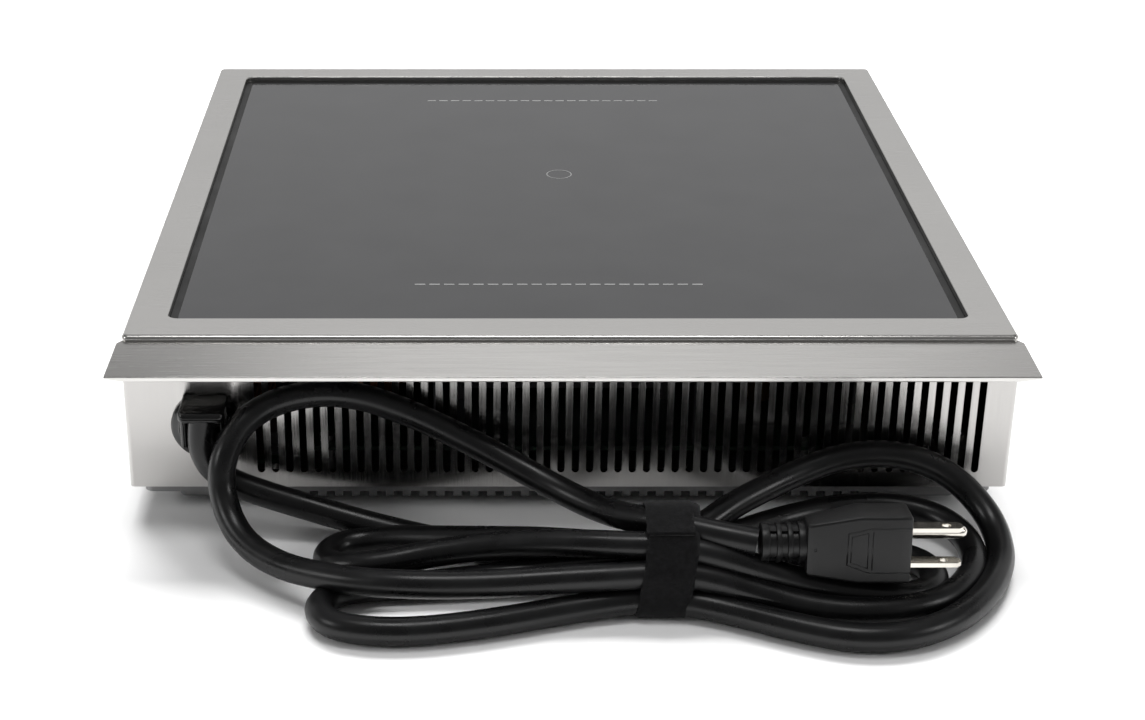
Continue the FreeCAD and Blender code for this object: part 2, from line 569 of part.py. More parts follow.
def controls():
    overlay = on_face(Body("fascia_overlay"))
    sheet_outline = overlay.sketch()
    rounded(sheet_outline, ("-overlay_x", "overlay_x"), ("overlay_low", "overlay_high"), "4")
    overlay.pad(sheet_outline, "overlay_thick")
    openings = overlay.sketch(lift="overlay_thick")
    rectangle(openings, ("window_x - window_half", "window_x + window_half"),
              ("window_low", "window_high"))
    circle(openings, "knob_x", "knob_y", "bush_radius + 0.2")
    for index in range(len(BUTTONS)):
        circle(openings, button_x(index), "button_y", "button_radius + button_clear")
        circle(openings, button_x(index), "lamp_y", "lamp_radius")
    overlay.pocket(openings, "overlay_thick")

    window = on_face(Body("display_window"))
    lens = window.sketch(lift="-fascia_thick + 0.3")
    rounded(lens, ("window_x - window_half + fit", "window_x + window_half - fit"),
            ("window_low + fit", "window_high - fit"), "0.5")
    window.pad(lens, "fascia_thick + overlay_thick - 0.3")

    board = on_face(Body("control_board"))
    laminate = board.sketch(lift="board_front - board_thick")
    rounded(laminate, ("board_left", "board_right"), ("board_low", "board_high"), "2")
    board.pad(laminate, "board_thick")
    holes = board.sketch(lift="board_front")
    for x in ("board_left + 5", "board_right - 5"):
        for y in ("board_low + 5", "board_high - 5"):
            circle(holes, x, y, "1.7")
    board.pocket(holes, "board_thick")

    module = on_face(Body("display_module"))
    face = module.sketch(lift="board_front")
    rectangle(face, ("window_x - window_half + 3", "window_x + window_half - 3"),
              ("window_low + 2", "window_high - 2"))
    module.pad(face, "-board_front - fascia_thick - 0.5")
    digits = module.sketch(lift="-fascia_thick - 0.5")
    for index in range(4):
        left = f"window_x - window_half + 7 + {index} * 12.4"
        rectangle(digits, (left, f"{left} + 8.4"), ("window_low + 4.5", "window_high - 4.5"))
    module.pocket(digits, "0.5")

    switches = on_face(Body("button_switches"))
    cases = switches.sketch(lift="board_front")
    for index in range(len(BUTTONS)):
        rectangle(cases, (button_x(index) + " - 3", button_x(index) + " + 3"),
                  ("button_y - 3", "button_y + 3"))
    switches.pad(cases, "3.8")
    stems = switches.sketch(lift="board_front + 3.8")
    for index in range(len(BUTTONS)):
        circle(stems, button_x(index), "button_y", "1.7")
    switches.pad(stems, "1.2")

    lamps = on_face(Body("indicator_lenses"))
    rods = lamps.sketch(lift="board_front")
    for index in range(len(BUTTONS)):
        circle(rods, button_x(index), "lamp_y", "lamp_radius - fit / 2")
    lamps.pad(rods, "-board_front + overlay_thick + 0.3")

    for index, word in enumerate(BUTTONS):
        button = on_face(Body(f"{word}_button"))
        x = button_x(index)
        button.pad(circle(button.sketch(lift="-4.2"), x, "button_y", "2"), "1.2")
        button.pad(circle(button.sketch(lift="-3.2"), x, "button_y", "button_radius + 1.3"), "1.2")
        cap = circle(button.sketch(lift="-2"), x, "button_y", "button_radius")
        button.pad(cap, "button_top + 2")
        button.round("0.6", lambda p: p.z > value("button_top") - 0.01)

    encoder = on_face(Body("encoder"))
    case = encoder.sketch(lift="board_front")
    rectangle(case, ("knob_x - 6.5", "knob_x + 6.5"), ("knob_y - 6.5", "knob_y + 6.5"))
    encoder.pad(case, "6.4")
    bush = encoder.sketch(lift="board_front + 6.4")
    encoder.pad(circle(bush, "knob_x", "knob_y", "bush_radius"), "bush_top - board_front - 6.4")
    bore = encoder.sketch(lift="bush_top")
    encoder.pocket(circle(bore, "knob_x", "knob_y", "shaft_radius + 0.08"), "bush_top + 8")

    nut = on_face(Body("encoder_nut"))
    ring = nut.sketch(lift="overlay_thick")
    corners = [(f"knob_x + {round(5.7 * math.cos(math.radians(60 * k)), 4)}",
                f"knob_y + {round(5.7 * math.sin(math.radians(60 * k)), 4)}") for k in range(6)]
    draw(ring, corners)
    circle(ring, "knob_x", "knob_y", "bush_radius")
    nut.pad(ring, "1.9")

    shaft = on_face(Body("knob_shaft"))
    foot = shaft.sketch(lift="-7.5")
    shaft.pad(circle(foot, "knob_x", "knob_y", "shaft_radius"), "shaft_top + 7.5")
    flat = shaft.sketch(lift="shaft_top")
    rectangle(flat, ("knob_x + shaft_radius - 1", "knob_x + shaft_radius + 1"),
              ("knob_y - 4", "knob_y + 4"))
    shaft.pocket(flat, "shaft_top - bush_top - 0.5")

    knob = on_face(Body("knob"))
    skirt = circle(knob.sketch(lift="knob_low"), "knob_x", "knob_y", "knob_radius")
    knob.pad(skirt, "3")
    grip = circle(knob.sketch(lift="knob_low + 3"), "knob_x", "knob_y", "knob_radius - 1.2")
    knob.pad(grip, "knob_high - knob_low - 3")
    knob.round("0.9", lambda p: p.z > value("knob_high") - 0.01)
    pointer = knob.sketch(lift="knob_high")
    rectangle(pointer, ("knob_x - 0.8", "knob_x + 0.8"),
              ("knob_y + 5", "knob_y + knob_radius - 2.5"))
    knob.pocket(pointer, "0.6")
    hollow = circle(knob.sketch(lift="knob_low"), "knob_x", "knob_y", "6.6")
    knob.pocket(hollow, "3", up=True)
    socket = circle(knob.sketch(lift="knob_low"), "knob_x", "knob_y", "shaft_radius")
    knob.pocket(socket, "shaft_top - knob_low", up=True)


# ---------------------------------------------------------------- feet and fasteners


def feet():
    feet = []
    for x in ("-foot_x", "foot_x"):
        for y in ("foot_front", "foot_rear"):
            foot = Body(f"foot_{len(feet)}")
            nodes.remove(foot.item)
            profile = foot.sketch("XZ_Plane")
            draw(profile, [("foot_screw + 0.2", "1.9"), ("3.9", "1.9"), ("3.9", "0"),
                           ("foot_radius - foot_round", "0"), ("foot_radius", "foot_round"),
                           ("foot_radius", "dish_bottom"), ("foot_screw + 0.2", "dish_bottom")])
            foot.turn(profile)
            for axis, formula in zip("xy", (x, y)):
                bind(foot.item, "Placement.Base." + axis, formula)
            feet.append(foot.item)
    keep(group("foot_set", feet), "feet")


def fasteners(shell):
    foot_screws, pan_screws, pan_nuts, deck_nuts, brackets = [], [], [], [], []
    for x in ("-foot_x", "foot_x"):
        for y in ("foot_front", "foot_rear"):
            name = f"foot_screw_{len(foot_screws)}"
            low = screw(name, x, y, "1.9", "9.5", "foot_screw", "3.6", "1.6", False)
            nut = hexagon(name + "_nut", x, y, (PAN_FLOOR, f"{PAN_FLOOR} + 2.8"), "3.6")
            foot_screws.append(fuse(name + "_set", [low, nut]))
    for x in ("-pan_screw_x", "pan_screw_x"):
        for step in range(4):
            y = f"pan_screw_first + {step} * pan_screw_pitch"
            name = f"pan_screw_{len(pan_screws)}"
            pan_screws.append(screw(name, x, y, "pan_step", "body_bottom + 6", "pan_screw",
                                    "pan_head", "1.7", False))
            block = hexagon(name + "_hex", x, y, ("body_bottom + sheet", "body_bottom + 4.2"),
                            "pan_nut + 0.5")
            thread = post(name + "_bore", x, y, ("body_bottom", "body_bottom + 5"), "pan_screw")
            pan_nuts.append(cut(name + "_nut", block, [thread]))
    for side in (-1, 1):
        for step in range(3):
            y = f"bracket_first + {step} * bracket_pitch"
            name = f"bracket_{len(brackets)}"
            wall = "body_width / 2 - sheet"
            span = (f"{y} - bracket_length / 2", f"{y} + bracket_length / 2")
            under = "top_height - sheet"
            if side > 0:
                leg_x = (f"{wall} - bracket_thick", wall)
                arm_x = (f"{wall} - bracket_reach", wall)
            else:
                leg_x = (f"-({wall})", f"-({wall}) + bracket_thick")
                arm_x = (f"-({wall})", f"-({wall}) + bracket_reach")
            leg = box(name + "_leg", leg_x, span, (f"{under} - bracket_drop", under))
            arm = box(name + "_arm", arm_x, span, (f"{under} - bracket_thick", under))
            hole = post(name + "_hole", f"{side} * stud_x", y, (f"{under} - 5", under), "stud")
            brackets.append(cut(name, fuse(name + "_angle", [leg, arm]), [hole]))
            nut_z = (f"{under} - bracket_thick - 3.2", f"{under} - bracket_thick")
            block = hexagon(name + "_hex", f"{side} * stud_x", y, nut_z, "4")
            thread = post(name + "_thread", f"{side} * stud_x", y, (f"{under} - 9", under), "stud")
            deck_nuts.append(cut(name + "_nut", block, [thread]))
    keep(group("foot_screws", foot_screws), "foot_screws")
    keep(group("pan_screws", pan_screws), "pan_screws")
    keep(group("pan_nuts", pan_nuts), "pan_nuts")
    nodes.remove(shell.item)
    shell.item.Label = "shell_sheet"
    keep(fuse("shell_with_brackets", [shell.item] + brackets), "body_shell")
    keep(group("deck_nuts", deck_nuts), "deck_nuts")


# ---------------------------------------------------------------- coil stack

GLASS_LOW = "top_height - glass_drop - glass_thick"
COIL_TOP = f"{GLASS_LOW} - mica"
COIL_LOW = f"{COIL_TOP} - coil_thick"
CARRIER_LOW = f"{COIL_LOW} - carrier_thick"


def centred(body):
    bind(body.item, "Placement.Base.y", "cook_y")
    return body


def coil_stack():
    mica = centred(Body("mica_sheet"))
    disc = circle(mica.sketch(lift=COIL_TOP), "0", "0", "mica_radius")
    circle(disc, "0", "0", "sensor_radius + 0.2")
    mica.pad(disc, "mica")

    coil = centred(Body("induction_coil"))
    pitch = "(coil_radius - coil_eye) / coil_turns"
    corners = [("coil_eye", COIL_LOW)]
    for turn in range(int(value("coil_turns"))):
        start = f"coil_eye + {turn} * {pitch}"
        corners += [(start, f"{COIL_TOP} - groove"), (f"{start} + groove / 2", COIL_TOP),
                    (f"{start} + {pitch} - groove / 2", COIL_TOP)]
    corners += [("coil_radius", f"{COIL_TOP} - groove"), ("coil_radius", COIL_LOW)]
    coil.turn(draw(coil.sketch("XZ_Plane"), corners))

    carrier = centred(Body("coil_carrier"))
    plate = circle(carrier.sketch(lift=CARRIER_LOW), "0", "0", "carrier_radius")
    circle(plate, "0", "0", "eye_radius")
    carrier.pad(plate, "carrier_thick")
    channel = rectangle(carrier.sketch(lift=CARRIER_LOW),
                        ("ferrite_start - 0.2", "ferrite_start + ferrite_length + 0.2"),
                        ("-ferrite_width / 2 - 0.2", "ferrite_width / 2 + 0.2"))
    recess = carrier.pocket(channel, "ferrite_thick", up=True)
    carrier.ring(recess, "ferrite_count")

    ferrite = centred(Body("ferrite_bars"))
    bar = rectangle(ferrite.sketch(lift=CARRIER_LOW),
                    ("ferrite_start", "ferrite_start + ferrite_length"),
                    ("-ferrite_width / 2", "ferrite_width / 2"))
    ferrite.item.AllowCompound = True
    first = ferrite.pad(bar, "ferrite_thick")
    ferrite.ring(first, "ferrite_count")

    holder = centred(Body("sensor_holder"))
    holder.pad(circle(holder.sketch(lift=CARRIER_LOW), "0", "0", "eye_radius"),
               f"{COIL_LOW} - ({CARRIER_LOW}) + 1.5")
    sensor = centred(Body("glass_sensor"))
    sensor.pad(circle(sensor.sketch(lift=f"{COIL_LOW} + 1.5"), "0", "0", "sensor_radius"),
               "coil_thick + mica - 1.5")

    tray = centred(Body("shield_tray"))
    tray.pad(rounded(tray.sketch(lift="tray_top - tray_thick"), ("-tray_half_x", "tray_half_x"),
                     ("-tray_half_y", "tray_half_y"), "6"), "tray_thick")
    slots = tray.sketch(lift="tray_top")
    for y in ("5", "25"):
        rectangle(slots, ("lead_slot_x - 4", "lead_slot_x + 4"), (f"{y} - 4", f"{y} + 4"))
    tray.pocket(slots, "tray_thick")

    buffers, posts, caps = [], [], []
    for x in (-1, 1):
        for y in (-1, 1):
            at = f"{y} * post_y + cook_y"
            buffers.append(post(f"buffer_{len(buffers)}", f"{x} * buffer_at / 1.41421",
                                f"{y} * buffer_at / 1.41421 + cook_y",
                                ("tray_top", CARRIER_LOW), "buffer_radius"))
            posts.append(hexagon(f"tray_post_{len(posts)}", f"{x} * post_x", at,
                                 (PAN_FLOOR, "tray_top - tray_thick"), "post_radius"))
            caps.append(post(f"tray_cap_{len(caps)}", f"{x} * post_x", at,
                             ("tray_top", "tray_top + 2.2"), "3.4"))
    keep(group("coil_buffers", buffers), "coil_buffers")
    return posts, caps


# ---------------------------------------------------------------- power electronics

BOARD_TOP = "power_low + board_thick"


def power_section(posts, screws):
    board = Body("power_board")
    board.pad(rounded(board.sketch(lift="power_low"), ("-power_x", "power_x"),
                      ("power_front", "power_rear"), "3"), "board_thick")
    holes = board.sketch(lift=BOARD_TOP)
    for side in (-1, 1):
        for step in range(3):
            x, y = f"{side} * power_post_x", f"power_post_first + {step} * power_post_step"
            circle(holes, x, y, "1.6")
            posts.append(post(f"board_post_{len(posts)}", x, y, (PAN_FLOOR, "power_low"), "3.2"))
            screws.append(screw(f"board_screw_{len(screws)}", x, y, BOARD_TOP, "power_low",
                                "1.5", "2.8", "2", True))
    board.pocket(holes, "board_thick")
    keep(group("inner_screws", screws), "inner_screws")

    sink = Body("heat_sink")
    base = rectangle(sink.sketch("XZ_Plane", lift="-sink_rear"), ("-sink_half", "sink_half"),
                     ("sink_low", "sink_high"))
    sink.pad(base, "sink_rear - sink_front")
    gap = "(2 * sink_half - fin_count * fin_thick) / (fin_count - 1)"
    channel = rectangle(sink.sketch("XZ_Plane", lift="-sink_rear"),
                        ("-sink_half + fin_thick", f"-sink_half + fin_thick + {gap}"),
                        ("sink_low + sink_base", "sink_high + 1"))
    groove = sink.pocket(channel, "2 * sink_rear", both=True)
    sink.row(groove, "X_Axis", f"({gap} + fin_thick) * (fin_count - 2)", "fin_count - 1")
    legs = sink.sketch(lift=BOARD_TOP)
    for x in (("-sink_half", "-sink_half + 6"), ("sink_half - 6", "sink_half")):
        for y in (("sink_front", "sink_front + 6"), ("sink_rear - 6", "sink_rear")):
            rectangle(legs, x, y)
    sink.pad(legs, f"sink_low - ({BOARD_TOP})")

    devices = []
    for index, x in enumerate((-26, 0, 26)):
        devices.append(box(f"device_{index}", (f"{x} - 8", f"{x} + 8"), ("52", "73"),
                           (BOARD_TOP, "sink_low")))
    keep(group("power_devices", devices), "power_devices")

    capacitors = [
        box("smoothing_capacitor", ("-92", "-72"), ("16", "48"), (BOARD_TOP, "38")),
        box("resonant_capacitor", ("66", "92"), ("36", "58"), (BOARD_TOP, "40")),
        post("bulk_capacitor", "-80", "78", (BOARD_TOP, "36"), "9"),
        post("standby_capacitor", "-80", "104", (BOARD_TOP, "32"), "6")]
    keep(group("capacitors", capacitors), "capacitors")

    choke = doc.addObject("Part::Torus", "choke")
    choke.Radius1, choke.Radius2 = 12, 6
    place(choke, "78", "92", f"{BOARD_TOP} + 6.1")
    keep(choke, "power_choke")

    duct_outer = box("duct_outer", ("-duct_half", "duct_half"), ("duct_front", "duct_rear"),
                     (f"{BOARD_TOP}", "duct_high"))
    duct_inner = box("duct_inner", ("-duct_half + duct_thick", "duct_half - duct_thick"),
                     ("duct_front - 1", "duct_rear + 1"), ("0", "duct_high - duct_thick"))
    keep(cut("duct", duct_outer, [duct_inner]), "air_duct")

    posts += [post(f"filter_post_{i}", x, y, (PAN_FLOOR, "15"), "2.5")
              for i, (x, y) in enumerate(((112, 124), (140, 124), (112, 164), (140, 164)))]
    keep(group("standoffs", posts), "standoffs")
    keep(box("filter_laminate", ("107", "145"), ("119", "169"), ("15", "16.6")), "filter_board")
    core = box("filter_core", ("112", "140"), ("122", "140"), ("16.6", "36"))
    keep(core, "filter_choke")
    keep(fuse("fuse_parts", [box("fuse_base", ("109", "115"), ("143", "165"), ("16.6", "20")),
                             box("fuse_glass", ("109.5", "114.5"), ("145", "163"),
                                 ("20", "25"))]), "fuse_holder")
    block = box("terminal_body", ("119", "143"), ("146", "156"), ("16.6", "28"))
    mouths = [post(f"terminal_hole_{i}", x, "151", ("22", "29"), "2.4")
              for i, x in enumerate((123, 131, 139))]
    lugs = [box(f"coil_lug_{y}", ("84", "96"), (f"{y} - 5", f"{y} + 5"), (BOARD_TOP, "20"))
            for y in (14, 27)]
    keep(group("terminals", [cut("mains_terminal", block, mouths)] + lugs), "terminal_blocks")


def fan_corners():
    """Places of the fan screws and of the pan bosses under them"""
    return [(f"{side} * fan_x + ({x})", f"fan_y + ({y})") for side in (-1, 1)
            for x in ("-fan_hole", "fan_hole") for y in ("-fan_hole", "fan_hole")]


def fans():
    half = "fan_side / 2"
    for side, word in ((1, "left"), (-1, "right")):
        frame = Body(f"fan_frame_{word}")
        block = rounded(frame.sketch(), (f"-{half}", half), (f"-{half}", half), "5")
        frame.pad(block, "fan_deep")
        bore = circle(frame.sketch(lift="fan_deep + 1"), "0", "0", "fan_bore")
        frame.pocket(bore, "fan_deep + 2")
        holes = frame.sketch(lift="fan_deep + 1")
        for x in ("-fan_hole", "fan_hole"):
            for y in ("-fan_hole", "fan_hole"):
                circle(holes, x, y, "2.1")
        frame.pocket(holes, "fan_deep + 2")
        frame.pad(circle(frame.sketch(), "0", "0", "fan_hub"), "strut_thick")
        strut = rectangle(frame.sketch(), ("fan_hub - 1", "fan_bore + 1"),
                          ("-strut_width / 2", "strut_width / 2"))
        frame.ring(frame.pad(strut, "strut_thick"), "4")
        frame.pad(circle(frame.sketch(lift="strut_thick"), "0", "0", "axle_radius"),
                  "fan_deep - 6")

        rotor = Body(f"fan_rotor_{word}")
        cup = circle(rotor.sketch(lift="strut_thick + 0.6"), "0", "0", "fan_hub")
        rotor.pad(cup, "fan_deep - strut_thick - 1.6")
        blade = draw(rotor.sketch("YZ_Plane", lift="fan_hub - 1"),
                     [("-6.5", "4.2"), ("-5", "3.6"), ("6.5", "17"), ("5", "17.6")])
        vane = rotor.pad(blade, "fan_tip - fan_hub + 1")
        rotor.ring(vane, "blade_count")
        hole = circle(rotor.sketch(lift="strut_thick"), "0", "0", "axle_radius + 0.3")
        rotor.pocket(hole, "fan_deep - 6 + 0.5", up=True)
        for body in (frame, rotor):
            for axis, formula in zip("xyz", (f"{side} * fan_x", "fan_y", "fan_low")):
                bind(body.item, "Placement.Base." + axis, formula)

    screws = []
    for x, y in fan_corners():
        screws.append(screw(f"fan_screw_{len(screws)}", x, y, "fan_low + fan_deep", PAN_FLOOR,
                            "1.9", "3.6", "2.2", True))
    keep(group("fan_screws", screws), "fan_screws")


# ---------------------------------------------------------------- wires and cord

def unit(vector):
    return Vector(vector).normalize()


def route_wire(points):
    """Straight runs joined by tangent arcs, each arc as large as its two runs allow"""
    points = [Vector(*point) for point in points]
    edges, radii, here = [], [], points[0]
    for before, corner, after in zip(points, points[1:], points[2:]):
        into, out = unit(corner - before), unit(after - corner)
        shorter = min((corner - before).Length, (after - corner).Length)
        turn = into.getAngle(out)
        reach = 0.45 * shorter
        radii.append(reach / math.tan(turn / 2))
        start, end = corner - into * reach, corner + out * reach
        to_centre = unit((start + end) * 0.5 - corner)
        middle = corner + to_centre * (radii[-1] / math.cos(turn / 2) - radii[-1])
        edges.append(Part.LineSegment(here, start).toShape())
        edges.append(Part.Arc(start, middle, end).toShape())
        here = end
    edges.append(Part.LineSegment(here, points[-1]).toShape())
    return Part.Wire(edges), radii


def tube(name, points, radius):
    """A round tube along a route, with its volume compared with section times length"""
    path, radii = route_wire(points)
    start, ahead = Vector(*points[0]), Vector(*points[1])
    section = Part.Wire(Part.makeCircle(radius, start, ahead - start))
    solid = path.makePipeShell([section], True, True)
    expected = math.pi * radius ** 2 * path.Length
    if abs(solid.Volume - expected) > 0.02 * expected:
        raise RuntimeError(f"{name}: the tube's volume is {solid.Volume:.0f}, not {expected:.0f}")
    print(name, f"length {path.Length:.0f}", "radii", [round(r) for r in radii])
    return solid


def feature(name, shape):
    item = doc.addObject("Part::Feature", name)
    item.Shape = shape
    item.Placement = Placement()
    return item


def inner_wiring():
    x, z = value("gland_x"), value("gland_z")
    jacket = Part.makeCylinder(4.8, 13, Vector(x, value("wall_rear") - 13, z), Vector(0, 1, 0))
    solids = [jacket]
    for offset, end in ((-3, 123), (0, 131), (3, 139)):
        lift = abs(offset) * 0.9 - 1.3
        route = [(x + offset, 169, z + lift), (x + offset, 160, z + lift), (end, 152, 36),
                 (end, 151, 22.2)]
        solids.append(tube(f"mains_lead_{end}", route, 1.3))
    keep(feature("mains_lead_set", Part.Compound(solids)), "mains_leads")

    slot, coil_z = value("lead_slot_x"), value(COIL_LOW) + 2.9
    leads = []
    for y, foot in ((value("cook_y") + 5, 14), (value("cook_y") + 25, 28)):
        edge = math.sqrt(value("coil_radius") ** 2 - (y - value("cook_y") - 2) ** 2)
        route = [(edge + 0.1, y, coil_z), (slot - 3, y, coil_z), (slot, y, coil_z - 12),
                 (slot, y, 34), (93, foot, 27), (88, foot, 21.6)]
        leads.append(tube(f"coil_lead_{foot}", route, 2.0))
    keep(feature("coil_lead_set", Part.Compound(leads)), "coil_leads")
    ribbon = Body("ribbon_cable")
    normal = Vector(0, -math.sin(math.radians(SLOPE)), math.cos(math.radians(SLOPE)))
    back = FACE.multVec(Vector(0, value("board_low") + 12, value("board_front - board_thick")))
    near = back - normal * 5
    upper = [(-10, 13), (-10, 17), (-24, 19.5), (near.y + 14, 19.5), (near.y, near.z),
             (back.y, back.z)]
    along = Vector(0, math.cos(math.radians(SLOPE)), math.sin(math.radians(SLOPE)))
    lower = [((back + along).y, (back + along).z), ((near + along).y + 0.5, (near + along).z),
             (near.y + 15, 20.5), (-23.5, 20.5), (-9, 18), (-9, 13)]
    lower_edge = [(y, z) for y, z in lower]
    outline = [(y, z if z != 13 else value(BOARD_TOP)) for y, z in upper + lower_edge]
    ribbon.pad(draw(ribbon.sketch("YZ_Plane"), outline), "16", both=True)


# The cord's centre line, by hand: out of the strain relief, down and along behind the body.
CORD_TAIL = [(134.0, 193.2, 46.2), (133.6, 194.0, 40.0), (132.2, 194.6, 34.5),
             (129.0, 195.0, 27.5), (122.0, 195.3, 21.5), (111.0, 196.0, 17.5),
             (96.0, 197.0, 12.8), (76.0, 199.5, 8.2), (52.0, 206.0, 5.3)]
# The large left loop leans on the rear wall, and so does the top of the outer right loop.
LEFT_LOOP = [(-24, 251, 14.5), (8, 258, 14.5), (40, 266, 14.5), (70, 267, 13.5), (92, 254, 11),
             (110, 235, 9), (122, 218, 14), (127, 208, 24.5), (126, 205.5, 36), (118, 195.5, 45),
             (103, 189.5, 50.5), (84, 188.5, 53), (64, 188.5, 49), (44, 189.5, 41.5),
             (20, 197, 33), (-2, 212, 27), (-22, 231, 24.5)]
RIGHT_LOOP = [(-40, 233, 22), (-56, 213, 19), (-71, 201, 20), (-86, 193, 22.5),
              (-100, 189.3, 25.5), (-116, 189, 27), (-132, 190, 25.5), (-146, 193, 20),
              (-155, 200, 13.5), (-159, 211, 8), (-157, 227, 5.2), (-148, 246, 5.2),
              (-133, 264, 5.2), (-114, 275.5, 5.2), (-93, 278, 5.2), (-72, 271, 5.2),
              (-52, 259, 5.2), (-38, 250, 7)]


def slab(outline, low, high):
    """A flat solid with the given plan"""
    base = Part.makePolygon([Vector(x, y, low) for x, y in outline + outline[:1]])
    return Part.Face(base).extrude(Vector(0, 0, high - low))


def cord():
    radius = value("cord_width / 2")
    tail = tube("power_cord", CORD_TAIL, radius)
    keep(feature("cord_tube", tail), "power_cord")

    bundle = Part.makeCylinder(value("bundle_radius"), 40,
                               Vector(value("strap_x") - 20, value("bundle_y"), value("bundle_z")),
                               Vector(1, 0, 0))
    left = slab([(-14, 226), (20, 212), (46, 201), (60, 210), (88, 208), (97, 217), (96, 258),
                 (84, 270), (58, 280), (28, 276), (-14, 257)], 0.2, 12)
    right = slab([(-49, 254), (-76, 271), (-104, 276), (-132, 262), (-152, 238), (-156, 210),
                  (-142, 190), (-110, 184.5), (-84, 187), (-49, 224)], 0.2, 9)
    start = Vector(value("strap_x") - 8, 244, 25.3)
    end = Vector(value("plug_rear + tail_length"), value("plug_y"), value("plug_z"))
    plug_run = Part.makeCylinder(radius, (end - start).Length - 0.2, start, end - start)
    loops = [tube("left_loop", LEFT_LOOP, radius), tube("right_loop", RIGHT_LOOP, radius)]
    hank = bundle.fuse([left, right, plug_run] + loops).removeSplitter()
    width = value("strap_width") + 0.4
    waist = Vector(value("strap_x") - width / 2, value("bundle_y"), value("bundle_z"))
    clear = Part.makeCylinder(40, width, waist, Vector(1, 0, 0)).cut(
        Part.makeCylinder(value("bundle_radius"), width, waist, Vector(1, 0, 0)))
    keep(feature("hank", hank.cut([clear, tail])), "cord_hank")

    rings = []
    for name, size in (("strap_outside", "bundle_radius + 0.1 + strap_thick"),
                       ("strap_inside", "bundle_radius + 0.1")):
        ring = doc.addObject("Part::Cylinder", name)
        bind(ring, "Radius", size)
        bind(ring, "Height", "strap_width")
        place(ring, "strap_x - strap_width / 2", "bundle_y", "bundle_z",
              Rotation(Vector(0, 1, 0), 90))
        rings.append(ring)
    keep(cut("strap_band", rings[0], rings[1:]), "cord_strap")


def strain_relief():
    """Snap-in relief: a flange on the wall and a hood that turns the cord downwards"""
    x, z, wall = value("gland_x"), value("gland_z"), value("wall_rear")
    rear = Vector(0, 1, 0)
    flange = Part.makeCylinder(value("gland_radius"), 3.2, Vector(x, wall, z), rear)
    flange = flange.makeFillet(1.2, [e for e in flange.Edges if e.CenterOfMass.y > wall + 3])
    neck = Part.makeCylinder(value("gland_hole") - 0.05, 10, Vector(x, wall - 10, z), rear)
    top, base = Vector(*CORD_TAIL[0]), 8.3
    hood = Part.makeBox(2 * base, 14, 4.2, Vector(x - base, wall + 2, top.z))
    hood = hood.makeFillet(1.9, [e for e in hood.Edges if e.CenterOfMass.y > wall + 8
                                 and e.CenterOfMass.z > top.z + 1])
    cheeks = [Part.makeBox(2.6, 8, 15, Vector(x + side, wall + 2, top.z - 14.5))
              for side in (-base, base - 2.6)]
    solid = flange.fuse([neck, hood] + cheeks)
    bore = Part.makeCylinder(4.8, 11, Vector(x, wall - 11, z), rear)
    keep(feature("relief", solid.cut(bore).removeSplitter()), "cord_relief")


def plug():
    """Moulded plug: tapered body, ribbed tail, two flat blades and a round ground pin"""
    frame = Placement(Vector(value("plug_rear"), value("plug_y"), value("plug_z")),
                      Rotation(Vector(1, 0, 0), value("plug_roll")))
    length = value("plug_rear - plug_nose")
    nose, along = Vector(-length, 0, 0), Vector(1, 0, 0)
    face = value("plug_face")

    def section(at, half, flat, back, back_half):
        """A flat front, a flat top and bottom and a narrower back, with its corners cut off"""
        corners = [Vector(-at, y, z) for y, z in
                   ((face, -half), (face, half), (flat, half), (back, back_half),
                    (back, -back_half), (flat, -half))]
        points = []
        for k, corner in enumerate(corners):
            for other in (corners[k - 1], corners[(k + 1) % len(corners)]):
                points.append(corner + (other - corner).normalize() * value("plug_round"))
        return Part.makePolygon(points + points[:1])
    full = [value(size) for size in ("plug_half", "plug_flat", "plug_back", "plug_back_half")]
    small = [value(size) for size in ("tail_half", "tail_flat", "tail_back", "tail_back_half")]
    body = Part.makeLoft([section(0, *small), section(length / 2, *full),
                          section(length, *full)], True, True)
    tail = [Part.makeCylinder(value("tail_core"), value("tail_length") + 1, Vector(-1, 0, 0), along)]
    for k in range(4):
        at = Vector(0.6 + value("rib_pitch") * k, 0, 0)
        tail.append(Part.makeCylinder(value("tail_rib") - 0.1 * k, value("rib_wide"), at, along))
    body = body.fuse(tail)

    reach, root = value("blade_length"), value("blade_root")
    wide, thick = value("blade_wide"), value("blade_thick")
    blades, sockets = [], []
    for side in (-1, 1):
        low = Vector(0, value("blade_y") - wide / 2, side * value("blade_z") - thick / 2)
        blade = Part.makeBox(reach + root, wide, thick, nose + low - along * reach)
        tip = [e for e in blade.Edges if abs(e.CenterOfMass.x + length + reach) < 0.01
               and abs(e.CenterOfMass.y - value("blade_y")) > 1]
        eye = Part.makeCylinder(1.6, 2 * thick, nose - along * (reach - value("blade_eye"))
                                + Vector(0, value("blade_y"), low.z - thick / 2))
        blades.append(blade.makeChamfer(1.6, tip).cut(eye))
        sockets.append(Part.makeBox(root, wide, thick, nose + low))
    pair = feature("plug_blade_pair", Part.Compound(blades))
    pair.Placement = frame
    keep(pair, "plug_blades")

    radius = value("pin_radius")
    base = nose + Vector(root, value("pin_y"), 0)
    long = value("pin_length") - radius
    pin = Part.makeCylinder(radius, long + root, base, -along)
    pin = pin.fuse(Part.makeSphere(radius, base - along * (long + root)))
    ground = feature("plug_pin", pin.removeSplitter())
    ground.Placement = frame
    keep(ground, "plug_ground_pin")
    sockets.append(Part.makeCylinder(radius, root, base, -along))
    moulding = feature("plug_moulding", body.cut(sockets).removeSplitter())
    moulding.Placement = frame
    keep(moulding, "plug_body")


top_deck()
glass_plate()
glass_seal()
shell = body_shell()
bottom_pan()
cut_fascia(front_fascia())
controls()
feet()
fasteners(shell)
power_section(*coil_stack())
fans()
inner_wiring()
cord()
strain_relief()
plug()
doc.recompute()

